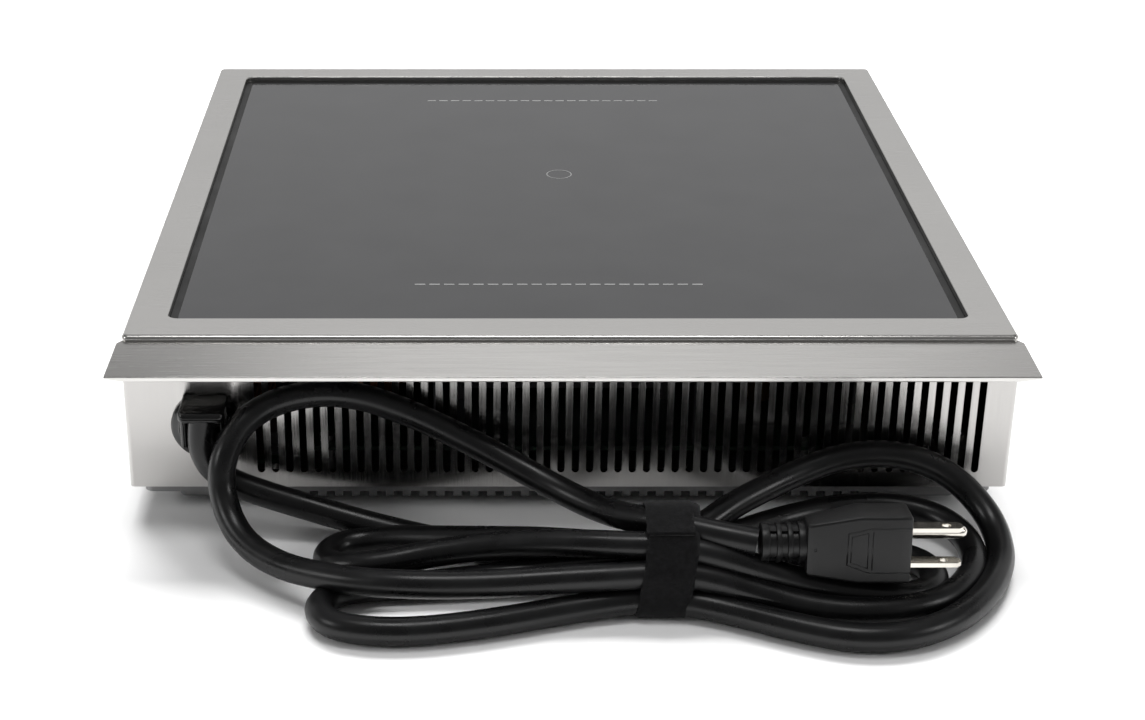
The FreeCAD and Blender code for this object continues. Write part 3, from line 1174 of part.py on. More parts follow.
for item in doc.Objects:
    if "Invalid" in item.State or "Error" in item.State:
        raise RuntimeError(f"{item.Label} failed: {item.State}")
for item in nodes:
    if item.Shape.isNull() or not item.Shape.isValid() or not item.Shape.Solids:
        raise RuntimeError(f"{item.Label} has no valid solid")

os.makedirs("parts", exist_ok=True)
for item in nodes:
    item.Shape.exportStep(f"parts/{item.Label}.step")
print(len(nodes), "sub-parts")
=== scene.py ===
"""Looks of the countertop induction cooktop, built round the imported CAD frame. Units: metres."""

import json
import math

import bmesh
import bpy
from mathutils import Matrix, Vector, noise


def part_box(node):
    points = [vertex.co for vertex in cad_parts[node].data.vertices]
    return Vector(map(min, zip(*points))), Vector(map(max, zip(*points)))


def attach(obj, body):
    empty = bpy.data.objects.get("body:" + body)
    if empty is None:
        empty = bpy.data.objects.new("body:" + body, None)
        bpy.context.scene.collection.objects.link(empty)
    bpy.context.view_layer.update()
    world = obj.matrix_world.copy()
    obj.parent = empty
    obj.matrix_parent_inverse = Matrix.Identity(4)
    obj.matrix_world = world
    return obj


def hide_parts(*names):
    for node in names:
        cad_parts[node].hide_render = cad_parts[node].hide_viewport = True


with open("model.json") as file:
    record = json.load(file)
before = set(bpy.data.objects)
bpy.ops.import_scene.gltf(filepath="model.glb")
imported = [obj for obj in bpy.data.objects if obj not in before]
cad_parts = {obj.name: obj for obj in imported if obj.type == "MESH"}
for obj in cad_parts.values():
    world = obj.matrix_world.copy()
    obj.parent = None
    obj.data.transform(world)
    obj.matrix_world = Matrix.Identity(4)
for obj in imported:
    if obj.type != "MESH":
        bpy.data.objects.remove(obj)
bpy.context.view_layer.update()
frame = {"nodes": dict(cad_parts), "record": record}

MM = 0.001
CORD_WIDTH = 10 * MM

# ---------------------------------------------------------------- materials


class Nodes:
    """Short ways to add nodes to a node tree and join them"""

    def __init__(self, tree):
        self.tree = tree

    def node(self, kind, **fields):
        made = self.tree.nodes.new("ShaderNode" + kind)
        for word, item in fields.items():
            setattr(made, word, item)
        return made

    def link(self, out, into):
        self.tree.links.new(out, into)


class Paint(Nodes):
    """A principled material with grain, change of colour and bumps"""

    def __init__(self, name, color, rough, metallic=0.0, **sockets):
        self.material = bpy.data.materials.new(name)
        self.material.use_nodes = True
        super().__init__(self.material.node_tree)
        self.shader = self.tree.nodes["Principled BSDF"]
        self.shader.inputs["Base Color"].default_value = (*color, 1)
        self.shader.inputs["Roughness"].default_value = rough
        self.shader.inputs["Metallic"].default_value = metallic
        for word, number in sockets.items():
            self.shader.inputs[word.replace("_", " ")].default_value = number
        self.color, self.rough = color, rough
        self.height = None

    def grain(self, scale, detail=4.0, stretch=(1, 1, 1), rough=0.6):
        """Noise in object space; stretch multiplies the frequency along each axis"""
        place = self.node("TexCoord")
        mapping = self.node("Mapping")
        mapping.inputs["Scale"].default_value = stretch
        self.link(place.outputs["Object"], mapping.inputs["Vector"])
        texture = self.node("TexNoise")
        texture.inputs["Scale"].default_value = scale
        texture.inputs["Detail"].default_value = detail
        texture.inputs["Roughness"].default_value = rough
        self.link(mapping.outputs["Vector"], texture.inputs["Vector"])
        return texture.outputs["Fac"]

    def spread(self, fac, low, high, low_in=0.3, high_in=0.7):
        """fac from low_in to high_in, taken to low to high"""
        span = self.node("MapRange")
        span.inputs["From Min"].default_value = low_in
        span.inputs["From Max"].default_value = high_in
        span.inputs["To Min"].default_value = low
        span.inputs["To Max"].default_value = high
        self.link(fac, span.inputs["Value"])
        return span.outputs["Result"]

    def vary_rough(self, fac, amount):
        self.link(self.spread(fac, self.rough - amount, self.rough + amount),
                  self.shader.inputs["Roughness"])

    def vary_color(self, fac, other):
        mix = self.node("Mix", data_type="RGBA")
        mix.inputs["A"].default_value = (*self.color, 1)
        mix.inputs["B"].default_value = (*other, 1)
        self.link(self.spread(fac, 0, 1), mix.inputs["Factor"])
        self.link(mix.outputs["Result"], self.shader.inputs["Base Color"])

    def bump(self, fac, depth, strength=1.0):
        """Adds to the bumps so far"""
        made = self.node("Bump")
        made.inputs["Strength"].default_value = strength
        made.inputs["Distance"].default_value = depth
        self.link(fac, made.inputs["Height"])
        if self.height:
            self.link(self.height, made.inputs["Normal"])
        self.height = made.outputs["Normal"]
        self.link(self.height, self.shader.inputs["Normal"])


def brushed(name, color, rough, along, smudge=0.05):
    """Brushed steel; along is the axis of the brushing"""
    paint = Paint(name, color, rough, metallic=1.0)
    stretch = [1.0, 1.0, 1.0]
    stretch["xyz".index(along)] = 0.012
    streaks = paint.grain(2600, 3.0, stretch)
    broad = paint.grain(9, 3.0, [0.6 if axis == along else 1.6 for axis in "xyz"])
    paint.vary_color(broad, [c * (1 - smudge) for c in color])
    paint.vary_rough(streaks, 0.07)
    paint.bump(streaks, 0.02 * MM, 0.5)
    return paint.material


def satin(name, color, rough, metallic=0.0, grain=1500, depth=0.02, tint=0.8, **sockets):
    """A moulded, painted or rubber surface with a fine grain and slow change of shade"""
    paint = Paint(name, color, rough, metallic, **sockets)
    fine = paint.grain(grain, 5.0)
    broad = paint.grain(40, 3.0)
    paint.vary_color(broad, [c * tint for c in color])
    paint.vary_rough(broad, min(0.06, rough * 0.4))
    paint.bump(fine, depth * MM, 0.6)
    return paint.material


def ceramic_glass():
    """Polished dark glass-ceramic with faint wipe marks"""
    paint = Paint("ceramic_glass", (0.014, 0.014, 0.015), 0.09)
    wipe = paint.grain(14, 5.0, (1.0, 3.0, 1.0))
    paint.vary_rough(wipe, 0.03)
    paint.vary_color(paint.grain(30), (0.010, 0.010, 0.011))
    return paint.material


def jacket():
    """Satin flexible jacket with fine drawing lines and handling marks"""
    paint = Paint("cord_jacket", (0.003, 0.003, 0.0032), 0.30, Specular_IOR_Level=0.32)
    fine = paint.grain(1800, 5.0)
    marks = paint.grain(60, 4.0)
    paint.vary_rough(marks, 0.08)
    paint.vary_color(marks, (0.006, 0.006, 0.0064))
    paint.bump(fine, 0.03 * MM, 0.5)
    paint.bump(marks, 0.12 * MM, 0.3)
    return paint.material


def strap_pile():
    """Loop-side tape: matt black pile"""
    paint = Paint("strap_fabric", (0.002, 0.002, 0.0022), 1.0, Specular_IOR_Level=0.15,
                  Sheen_Weight=0.06, Sheen_Roughness=0.5)
    pile = paint.grain(2400, 6.0, rough=0.75)
    lint = paint.grain(520, 5.0)
    paint.vary_color(lint, (0.007, 0.007, 0.0075))
    paint.bump(pile, 0.35 * MM, 1.0)
    paint.bump(lint, 0.4 * MM, 0.5)
    return paint.material


def circuit_board():
    """Green board with a net of slightly paler tracks, both darker than a real board's colours as
    painted shade for the unlit inside of the case
    """
    # Painted shade: the board and track colours are darker than a board's own green, standing in
    # for the shade inside the case
    board, track = (0.004, 0.020, 0.009), (0.007, 0.036, 0.016)
    paint = Paint("circuit_board", board, 0.35)
    tracks = paint.node("TexVoronoi", feature="DISTANCE_TO_EDGE")
    tracks.inputs["Scale"].default_value = 160
    place = paint.node("TexCoord")
    paint.link(place.outputs["Object"], tracks.inputs["Vector"])
    line = paint.spread(tracks.outputs["Distance"], 1, 0, 0.02, 0.05)
    mix = paint.node("Mix", data_type="RGBA")
    mix.inputs["A"].default_value = (*board, 1)
    mix.inputs["B"].default_value = (*track, 1)
    paint.link(line, mix.inputs["Factor"])
    paint.link(mix.outputs["Result"], paint.shader.inputs["Base Color"])
    return paint.material


def wound(name, color, metallic):
    """Varnished windings, seen as fine rings"""
    paint = Paint(name, color, 0.3, metallic)
    rings = paint.node("TexWave", wave_type="RINGS", rings_direction="SPHERICAL")
    rings.inputs["Scale"].default_value = 320
    rings.inputs["Distortion"].default_value = 0.4
    place = paint.node("TexCoord")
    paint.link(place.outputs["Object"], rings.inputs["Vector"])
    paint.bump(rings.outputs["Fac"], 0.3 * MM)
    paint.vary_color(paint.grain(200), [c * 0.7 for c in color])
    return paint.material


FINISH = {
    "deck_steel": brushed("deck_steel", (0.56, 0.55, 0.535), 0.22, "x"),
    # Painted shade: shell_steel is the deck's stainless with a darker colour, standing in for the
    # dimmer light and reflections on the rear wall
    "shell_steel": brushed("shell_steel", (0.43, 0.42, 0.41), 0.19, "z"),
    "pan_steel": satin("pan_steel", (0.22, 0.22, 0.22), 0.38, 0.9, grain=900),
    "ceramic_glass": ceramic_glass(),
    "silicone_seal": satin("silicone_seal", (0.010, 0.010, 0.010), 0.55),
    "overlay_film": satin("overlay_film", (0.012, 0.012, 0.014), 0.28, grain=2200, depth=0.012),
    "smoked_lens": satin("smoked_lens", (0.010, 0.004, 0.004), 0.06, grain=300, depth=0.002),
    # Painted shade: circuit_board, inner_plastic, mica, coil_copper, ferrite, tray_aluminium,
    # capacitor_case, terminal_plastic, fan_plastic and lead_insulation get darker colours than
    # their own, standing in for the shade inside the case seen through the slots
    "circuit_board": circuit_board(),
    "inner_plastic": satin("inner_plastic", (0.05, 0.05, 0.055), 0.5),
    "lamp_lens": satin("lamp_lens", (0.45, 0.03, 0.02), 0.15, grain=400, depth=0.005),
    "button_plastic": satin("button_plastic", (0.17, 0.17, 0.17), 0.38, grain=2600, depth=0.03),
    "knob_plastic": satin("knob_plastic", (0.016, 0.016, 0.017), 0.42, grain=2600, depth=0.03),
    "zinc_parts": satin("zinc_parts", (0.62, 0.62, 0.60), 0.28, 1.0, grain=700, tint=0.85),
    "foot_rubber": satin("foot_rubber", (0.05, 0.05, 0.05), 0.62, grain=1200, depth=0.04),
    "mica": satin("mica", (0.20, 0.16, 0.10), 0.4, grain=350, depth=0.03),
    "coil_copper": wound("coil_copper", (0.36, 0.14, 0.06), 1.0),
    "ferrite": satin("ferrite", (0.03, 0.03, 0.032), 0.45, grain=500),
    "tray_aluminium": brushed("tray_aluminium", (0.40, 0.40, 0.41), 0.32, "y"),
    "capacitor_case": satin("capacitor_case", (0.10, 0.055, 0.012), 0.3),
    "terminal_plastic": satin("terminal_plastic", (0.12, 0.12, 0.11), 0.42),
    "fan_plastic": satin("fan_plastic", (0.012, 0.012, 0.012), 0.45),
    "lead_insulation": satin("lead_insulation", (0.07, 0.07, 0.07), 0.4),
    "cord_jacket": jacket(),
    "strap_fabric": strap_pile(),
    "relief_plastic": satin("relief_plastic", (0.003, 0.003, 0.003), 0.16, grain=900, depth=0.01),
    "plug_rubber": satin("plug_rubber", (0.005, 0.005, 0.0052), 0.38, grain=2400, depth=0.06,
                         Specular_IOR_Level=0.35),
    "plug_metal": satin("plug_metal", (0.72, 0.69, 0.63), 0.2, 1.0, grain=500, tint=0.8),
}
PRINT = satin("glass_print", (0.19, 0.19, 0.19), 0.5, grain=3000)
SLOTS = {row["node"]: row["material_slot"] for row in frame["record"]["subparts"]}


def finish_cad_nodes():
    """Gives each CAD node the finish of its own slot"""
    for name, item in frame["nodes"].items():
        item.data.materials.clear()
        item.data.materials.append(FINISH[SLOTS[name]])


# ---------------------------------------------------------------- mesh helpers


def piece(name, mesh, slot, body="housing", finish=None):
    """A new object that rides on body; finish is for one that differs from its slot's"""
    item = bpy.data.objects.new(name, mesh)
    bpy.context.scene.collection.objects.link(item)
    mesh.materials.append(finish or FINISH[slot])
    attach(item, body)
    return item


def build(name, verts, faces, smooth=True):
    """A clean mesh with its normals facing out"""
    mesh = bpy.data.meshes.new(name)
    mesh.from_pydata([tuple(v) for v in verts], [], faces)
    shape = bmesh.new()
    shape.from_mesh(mesh)
    bmesh.ops.remove_doubles(shape, verts=shape.verts, dist=1e-7)
    bmesh.ops.recalc_face_normals(shape, faces=shape.faces)
    shape.to_mesh(mesh)
    shape.free()
    for face in mesh.polygons:
        face.use_smooth = smooth
    return mesh


def merge(parts):
    """One (verts, faces) pair from several"""
    verts, faces = [], []
    for some, links in parts:
        start = len(verts)
        verts += list(some)
        faces += [[start + i for i in face] for face in links]
    return verts, faces


def loft(rings, closed=False):
    """Verts and faces through rings of the same count; open lofts get end caps"""
    count = len(rings[0])
    verts = [v for ring in rings for v in ring]
    faces = []
    spans = len(rings) if closed else len(rings) - 1
    for i in range(spans):
        a, b = i * count, (i + 1) % len(rings) * count
        faces += [[a + j, a + (j + 1) % count, b + (j + 1) % count, b + j] for j in range(count)]
    if not closed:
        faces.append(list(range(count))[::-1])
        faces.append([(len(rings) - 1) * count + j for j in range(count)])
    return verts, faces


def lathe(profile, origin, axis, across, steps=64):
    """Turns (radius, height) pairs about axis; across is any vector square to it"""
    axis, across = Vector(axis).normalized(), Vector(across).normalized()
    other = axis.cross(across)
    rings = []
    for radius, height in profile:
        rings.append([Vector(origin) + axis * height
                      + (across * math.cos(t) + other * math.sin(t)) * radius
                      for t in [2 * math.pi * k / steps for k in range(steps)]])
    return loft(rings)


def rounded_ring(wide, tall, radius, per_corner=5):
    """Points of a rounded rectangle in the (y, z) plane"""
    points = []
    for index, (sy, sz) in enumerate(((1, 1), (-1, 1), (-1, -1), (1, -1))):
        cy, cz = sy * (wide / 2 - radius), sz * (tall / 2 - radius)
        for k in range(per_corner + 1):
            angle = math.pi / 2 * (index + k / per_corner)
            points.append((cy + radius * math.cos(angle), cz + radius * math.sin(angle)))
    return points


# ---------------------------------------------------------------- cord

# The centre line of the cord in millimetres, from the case to the plug, as seven lengths that
# meet under the strap. Each is named after where it goes.
OUT_OF_CASE = [
    (134.0, 193.2, 46.2), (134.6, 194.2, 40.0), (134.4, 195.0, 34.5), (131.5, 195.6, 27.5),
    (124.5, 196.0, 21.5), (112.0, 197.0, 17.0), (96.0, 198.5, 12.3), (76.0, 202.0, 7.6),
    (54.0, 208.5, 5.3), (36.0, 215.5, 5.2), (12.0, 229.0, 5.2), (-10.0, 239.0, 5.8),
    (-31.0, 243.0, 6.2)]
RIGHT_INNER = [
    (-47, 240.5, 5.6), (-64, 232, 5.2), (-82, 225, 5.2), (-98, 220.5, 5.2), (-112.5, 219.8, 5.2),
    (-123.6, 224.4, 5.2), (-128.2, 235.5, 5.2), (-123.6, 246.6, 5.5), (-112.5, 251.2, 6.3),
    (-95, 251, 8), (-78, 250.5, 11.8), (-63, 250.5, 17), (-46, 249.0, 22.3), (-31, 246.3, 23.8)]
LEFT_INNER = [
    (-18, 245.5, 23.4), (-4, 243, 22.6), (12, 239, 20.5), (33, 234.5, 16.5), (52, 234.0, 13),
    (64, 235.5, 11), (75, 235.8, 9.6), (84.8, 232, 7.2), (89, 223.2, 5.5), (84.8, 214.2, 5.2),
    (75, 210.6, 5.2), (61, 213.5, 7.8), (46, 219, 10.5), (28, 224.5, 13.5), (10, 228, 15.2),
    (-10, 229.8, 14.6), (-31, 229.8, 13.8)]
RIGHT_OUTER = [
    (-46, 222.5, 17.5), (-57, 212.5, 20.5), (-71, 202, 22.5), (-85, 194, 25), (-98.5, 189.5, 28.3),
    (-113, 189, 30), (-127, 190, 28.5), (-140.5, 192.5, 22.5), (-150, 200, 15), (-154.5, 210, 9),
    (-153.5, 226, 5.2), (-144, 247, 5.2), (-130, 264, 5.2), (-113, 274.5, 5.2), (-93, 276.5, 5.2),
    (-74, 269.5, 5.2), (-54, 259.5, 5.3), (-41, 255.0, 6.0), (-31, 253.2, 6.4)]
LEFT_BOTTOM = [
    (-20, 253.4, 6.2), (-6, 255.8, 5.5), (12, 261, 5.2), (33, 267.5, 5.2), (55, 272, 5.2),
    (72, 271.6, 5.2), (84.6, 267.4, 5.2), (89.6, 257.3, 5.2), (84.6, 247.2, 5.2),
    (72, 243.2, 5.2), (50, 241.6, 5.4), (22, 239.5, 8), (2, 239.5, 12), (-15, 239.6, 15.2),
    (-31, 239.6, 15.8)]
RIGHT_MIDDLE = [
    (-46, 230.5, 14.5), (-57, 219, 12), (-73, 204, 9), (-89, 195.5, 8.5), (-104.5, 191.5, 9),
    (-121, 191, 9), (-137, 198, 8), (-145, 213, 6), (-142, 234, 5.5), (-128, 252.5, 5.2),
    (-106, 260, 5.3), (-82, 259.5, 6.2), (-60, 254.8, 11), (-44, 252.8, 15.2), (-31, 252.6, 16.4)]
LEFT_BIG = [
    (-20, 253.0, 15.8), (6, 254.3, 15), (20, 255.5, 14.6), (33, 256.5, 14.5), (47, 257, 14.5),
    (60.5, 256.5, 14.5), (74, 253.5, 13.5), (88, 247, 12), (102, 238, 10.3), (114, 227, 10.8),
    (122, 217, 15), (126.5, 208, 24.5), (126.0, 204.5, 35), (121, 197, 44), (113.5, 191, 48.5),
    (104, 188.8, 52), (91, 188.3, 54.3), (77, 188.3, 53), (62, 188.5, 47.5), (48, 189, 40.8),
    (33, 192, 34), (18, 198, 28), (4, 206, 23.5), (-9, 217.5, 22.3), (-20, 228.5, 24.6),
    (-31, 237.3, 28.2), (-45, 244.5, 27.8), (-62, 248, 26)]
ROUTE = [Vector(p) * MM for p in OUT_OF_CASE + RIGHT_INNER + LEFT_INNER + RIGHT_OUTER
         + LEFT_BOTTOM + RIGHT_MIDDLE + LEFT_BIG]


def mains_cord():
    """The cord as one smooth curve through its whole route"""
    curve = bpy.data.curves.new("mains_cord", "CURVE")
    curve.dimensions = "3D"
    spline = curve.splines.new("NURBS")
    spline.points.add(len(ROUTE) - 1)
    for point, at in zip(spline.points, ROUTE):
        point.co = (*at, 1)
    spline.order_u = 3
    spline.use_endpoint_u = True
    spline.resolution_u = 10
    curve.bevel_depth = CORD_WIDTH / 2
    curve.bevel_resolution = 7
    curve.use_fill_caps = True
    item = bpy.data.objects.new("mains_cord", curve)
    bpy.context.scene.collection.objects.link(item)
    curve.materials.append(FINISH["cord_jacket"])
    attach(item, "housing")
    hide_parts("power_cord", "cord_hank")
    return item


# Where the seven strands sit under the strap, as (y, z) in millimetres.
STRANDS = [(253.2, 6.4), (243, 6.2), (252.6, 16.4), (239.6, 15.8), (229.8, 13.8),
           (246.3, 23.8), (237.3, 28.2)]


def strand_outline(radius, count=96):
    """Evenly spaced (y, z) points of a loop drawn tight round circles on the strands"""
    half_turn = 24
    circle = [math.pi * k / half_turn for k in range(2 * half_turn)]
    cloud = sorted({(round(y + radius * math.cos(t), 4), round(z + radius * math.sin(t), 4))
                    for y, z in STRANDS for t in circle})

    def half(points):
        """The lower side of the outline, or the upper one for points in reverse"""
        kept = []
        for p in points:
            while len(kept) > 1 and ((kept[-1][0] - kept[-2][0]) * (p[1] - kept[-2][1])
                                     - (kept[-1][1] - kept[-2][1]) * (p[0] - kept[-2][0])) <= 0:
                kept.pop()
            kept.append(p)
        return kept[:-1]
    hull = [Vector(p) for p in half(cloud) + half(cloud[::-1])]
    lengths = [(hull[(i + 1) % len(hull)] - hull[i]).length for i in range(len(hull))]
    total = sum(lengths)
    points, here, i = [], 0.0, 0
    for k in range(count):
        target = total * k / count
        while here + lengths[i] < target:
            here += lengths[i]
            i += 1
        part = (target - here) / lengths[i]
        points.append(hull[i].lerp(hull[(i + 1) % len(hull)], part))
    return points


def tape(loop, middle, wide, thick, closed):
    """A soft tape that follows loop, (y, z) in mm, with its width along X; middle gives its x"""
    count, columns = len(loop), 14
    edge_slope, waves, wave_depth = 7, 9, 0.012
    fuzz_layers = ((0.8, 0.14), (3.1, 0.10))
    floor_gap = 0.08
    rings = []
    for k, at in enumerate(loop):
        before, after = loop[k - 1], loop[(k + 1) % count]
        if not closed:
            before, after = loop[max(k - 1, 0)], loop[min(k + 1, count - 1)]
        along = (after - before).normalized()
        outward = Vector((along[1], -along[0]))
        x0, half = middle(k / count), wide / 2
        section = []
        for side, step in ((-0.5, 1), (0.5, -1)):
            for c in range(columns + 1):
                across = step * (2 * c / columns - 1)
                edge = min(1.0, (1 - abs(across)) * edge_slope)
                x = x0 + across * half * (1 + wave_depth * math.sin(waves * k / count * math.tau))
                p = at + outward * (thick * (0.5 + side * edge ** 0.5))
                if side > 0:
                    p = p + outward * sum(
                        noise.noise(Vector((x * pitch, p[0] * pitch, p[1] * pitch))) * height
                        for pitch, height in fuzz_layers)
                section.append(Vector((x, p[0], max(p[1], floor_gap))) * MM)
        rings.append(section)
    return loft(rings, closed)


def strap():
    """Hook-and-loop tape: a full turn, and its free end lapped over the top of the bundle"""
    around_strand, thick = 5.15, 1.15
    turn_wide, lap_wide = 17.8, 16.6
    loop = strand_outline(around_strand)
    outer = strand_outline(around_strand + thick * 0.95)
    top = max(range(len(loop)), key=lambda k: loop[k][1])
    lap = [outer[k % len(outer)] for k in range(top - 11, top + 40)]

    def turn_middle(t):
        return -31.6 + 2.6 * math.sin(math.tau * (t - 0.02))

    def lap_middle(t):
        return -32.4 + 1.2 * t
    verts, faces = merge([tape(loop, turn_middle, turn_wide, thick, True),
                          tape(lap, lap_middle, lap_wide, thick * 0.9, False)])
    item = piece("cord_tape", build("cord_tape", verts, faces), "strap_fabric")
    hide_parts("cord_strap")
    return item


# ---------------------------------------------------------------- plug and strain relief

PLUG_AT = Vector((-78, 248, 26)) * MM
PLUG_TURN = Matrix.Rotation(math.radians(8), 4, "X")
PLUG_LONG, PLUG_FACE = 35.7, 7.8  # mm: the moulding's length, and its face above the cord's line


def plug_place(points):
    """From the plug's own frame, in mm with +X towards the cord, into the row frame"""
    return [PLUG_AT + PLUG_TURN @ (Vector(p) * MM) for p in points]


def plug_section(at, half, flat, back, back_half, corner, inset=0.0):
    """The moulding's outline at one station, with rounded corners"""
    face = PLUG_FACE - inset
    outline = [Vector(p) for p in ((face, -half + inset), (face, half - inset),
                                   (flat, half - inset), (back + inset, back_half - inset),
                                   (back + inset, -back_half + inset), (flat, -half + inset))]
    points = []
    for k, tip in enumerate(outline):
        start = tip + (outline[k - 1] - tip).normalized() * corner
        end = tip + (outline[(k + 1) % len(outline)] - tip).normalized() * corner
        for t in [j / 5 for j in range(6)]:
            points.append(start * (1 - t) ** 2 + tip * 2 * t * (1 - t) + end * t ** 2)
    return plug_place([(-at, y, z) for y, z in points])


def plug_body():
    """Tapered moulding with a ribbed, bridged tail"""
    # Half width, end of the flat sides, back, and half width of the back, in mm.
    full, small = (12.2, -6.0, -15.5, 7.0), (9.2, -2.0, -9.0, 5.5)
    tail_core = [(0.1, -0.5), (5.2, -0.5), (5.2, 14.9), (0.1, 14.9)]
    ribs = ((-0.4, 2.4, 7.2), (4.4, 6.2, 7.1), (8.2, 10.0, 7.0), (12.2, 15.0, 6.9))
    bridge_out, bridge_in = 6.3, 4.9

    def between(share):
        return [a + (b - a) * share for a, b in zip(small, full)]
    half_way = PLUG_LONG / 2
    stations = [(0.0, small, 1.0, 0.9), (0.25, small, 1.1, 0.3), (0.9, between(0.05), 1.2, 0.0)]
    stations += [(half_way * k / 6, between(k / 6), 1.2, 0.0) for k in range(1, 6)]
    stations += [(half_way - 0.7, between(0.975), 1.2, 0.0), (half_way, full, 1.2, 0.0),
                 (half_way + 0.7, full, 1.2, 0.0), (PLUG_LONG - 4, full, 1.2, 0.0),
                 (PLUG_LONG - 0.8, full, 1.2, 0.0), (PLUG_LONG - 0.2, full, 1.1, 0.35),
                 (PLUG_LONG, full, 0.9, 0.9)]
    parts = [loft([plug_section(at, *sizes, corner, inset)
                   for at, sizes, corner, inset in stations])]
    along, across = PLUG_TURN @ Vector((1, 0, 0)), PLUG_TURN @ Vector((0, 1, 0))

    def turned(profile):
        return lathe([(r * MM, h * MM) for r, h in profile], PLUG_AT, along, across, 56)
    parts.append(turned(tail_core))
    for low, high, radius in ribs:
        parts.append(turned([(5.0, low), (radius - 0.45, low), (radius - 0.1, low + 0.15),
                             (radius, low + 0.5), (radius, high - 0.5), (radius - 0.1, high - 0.15),
                             (radius - 0.45, high), (5.0, high)]))
    for quarter in range(4):
        middle = math.pi / 2 * quarter
        rings = []
        for x in (1.0, 14.0):
            arc = [middle + math.radians(-30 + 10 * k) for k in range(7)]
            ring = [(x, bridge_out * math.cos(t), bridge_out * math.sin(t)) for t in arc]
            ring += [(x, bridge_in * math.cos(t), bridge_in * math.sin(t)) for t in reversed(arc)]
            rings.append(plug_place(ring))
        parts.append(loft(rings))
    verts, faces = merge(parts)
    item = piece("plug_moulding", build("plug_moulding", verts, faces), "plug_rubber")
    item.data.set_sharp_from_angle(angle=math.radians(38))
    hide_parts("plug_body")
    return item


def plug_frame():
    """Raised outlines on the face of the plug round plain panels, and the gate mark"""
    def rib(corners, closed, size):
        """Half-round bars of radius size through corners, given as (towards the nose, z)"""
        points = [Vector(p) for p in corners]
        count = len(points)
        parts = []
        for i in range(count if closed else count - 1):
            a, b = points[i], points[(i + 1) % count]
            along = (b - a).normalized()
            side = Vector((-along[1], along[0]))
            rings = []
            for end in (a - along * size * 0.4, b + along * size * 0.4):
                rings.append(plug_place([(-(end[0] + side[0] * size * math.cos(t)),
                                          PLUG_FACE - 0.1 + size * math.sin(t),
                                          end[1] + side[1] * size * math.cos(t))
                                         for t in [math.pi * k / 6 for k in range(7)]]))
            parts.append(loft(rings))
        return parts
    parts = rib([(35.3, 7.9), (21.4, 7.9), (13.9, 6.2), (13.7, -5.2), (21.6, -8.1), (35.3, -8.2)],
                False, 0.30)
    parts += rib([(15.1, 5.0), (20.6, 6.4), (20.8, -6.4), (15.0, -4.3)], True, 0.22)
    parts += rib([(22.3, 6.7), (22.3, -6.9)], False, 0.24)
    gate_mark = [(0.1, -1.0), (0.62, -1.0), (0.62, 0.04), (0.1, 0.04)]
    parts.append(lathe([(r * MM, h * MM) for r, h in gate_mark],
                       plug_place([(-2.9, PLUG_FACE, 0.3)])[0], PLUG_TURN @ Vector((0, 1, 0)),
                       (1, 0, 0), 20))
    verts, faces = merge(parts)
    return piece("plug_outline", build("plug_outline", verts, faces), "plug_rubber")


def strain_relief():
    """Snap-in relief: a flange with a collar, and a hood that turns the cord down"""
    low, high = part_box("cord_relief")
    centre = Vector(((low.x + high.x) / 2, 182 * MM, 38 * MM))
    profile = [(0.2, -9.5), (7.6, -9.5), (7.9, -9.0), (7.9, 0.02), (13.0, 0.02), (13.05, 1.4),
               (12.7, 2.3), (11.9, 2.9), (10.4, 3.2), (9.6, 3.9), (9.2, 5.6), (8.6, 6.3),
               (0.2, 6.3)]
    parts = [lathe([(r * MM, h * MM) for r, h in profile], centre, (0, 1, 0), (1, 0, 0), 72)]

    def block(x, y, z, corner, taper=0.0):
        """A rounded block between pairs of mm, lofted from the wall outwards"""
        middle_x, middle_z = sum(x) / 2, sum(z) / 2
        wide, tall = x[1] - x[0], z[1] - z[0]
        rings = []
        for at, inset in ((y[0], 0), (y[1] - corner, 0), (y[1] - corner * 0.4, corner * 0.3),
                          (y[1], corner)):
            share = (at - y[0]) / (y[1] - y[0])
            rings.append([Vector((middle_x + a, at, middle_z + b - taper * share)) * MM
                          for a, b in rounded_ring(wide - 2 * inset, tall - 2 * inset,
                                                   max(corner - inset * 0.6, 0.3))])
        return loft(rings)
    mid, wall = centre.x / MM, 183
    parts.append(block((mid - 8.4, mid + 8.4), (wall, 198.2), (46.0, 50.6), 1.8, 0.4))
    for cheek in ((mid - 8.3, mid - 5.6), (mid + 5.6, mid + 8.3)):
        parts.append(block(cheek, (wall, 193.5), (33.5, 48.5), 1.1))
    verts, faces = merge(parts)
    item = piece("relief_hood", build("relief_hood", verts, faces), "relief_plastic")
    item.data.set_sharp_from_angle(angle=math.radians(50))
    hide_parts("cord_relief")


# ---------------------------------------------------------------- prints


def flat_ring(centre, radius, wide, lift, normal, across, start=0.0, turn=math.tau, thick=0.06):
    """A thin printed arc on a flat face, sizes in mm, centre in metres"""
    steps = max(8, int(96 * turn / math.tau))
    inner, outer = radius - wide / 2, radius + wide / 2
    normal, across = Vector(normal).normalized(), Vector(across).normalized()
    other = normal.cross(across)
    rings = []
    for k in range(steps + 1):
        t = start + turn * k / steps
        out = across * math.cos(t) + other * math.sin(t)
        rings.append([centre + (out * r + normal * h) * MM
                      for r, h in ((inner, lift), (outer, lift), (outer, lift + thick),
                                   (inner, lift + thick))])
    return loft(rings)


def bar(centre, long, wide, lift, normal, across, thick=0.06):
    """A thin printed bar: long runs along across"""
    normal, across = Vector(normal).normalized(), Vector(across).normalized()
    other = normal.cross(across)
    rings = []
    for h in (lift, lift + thick):
        rings.append([
            centre + (across * (sx * long / 2) + other * (sy * wide / 2) + normal * h) * MM
            for sx, sy in ((-1, -1), (1, -1), (1, 1), (-1, 1))])
    return loft(rings)


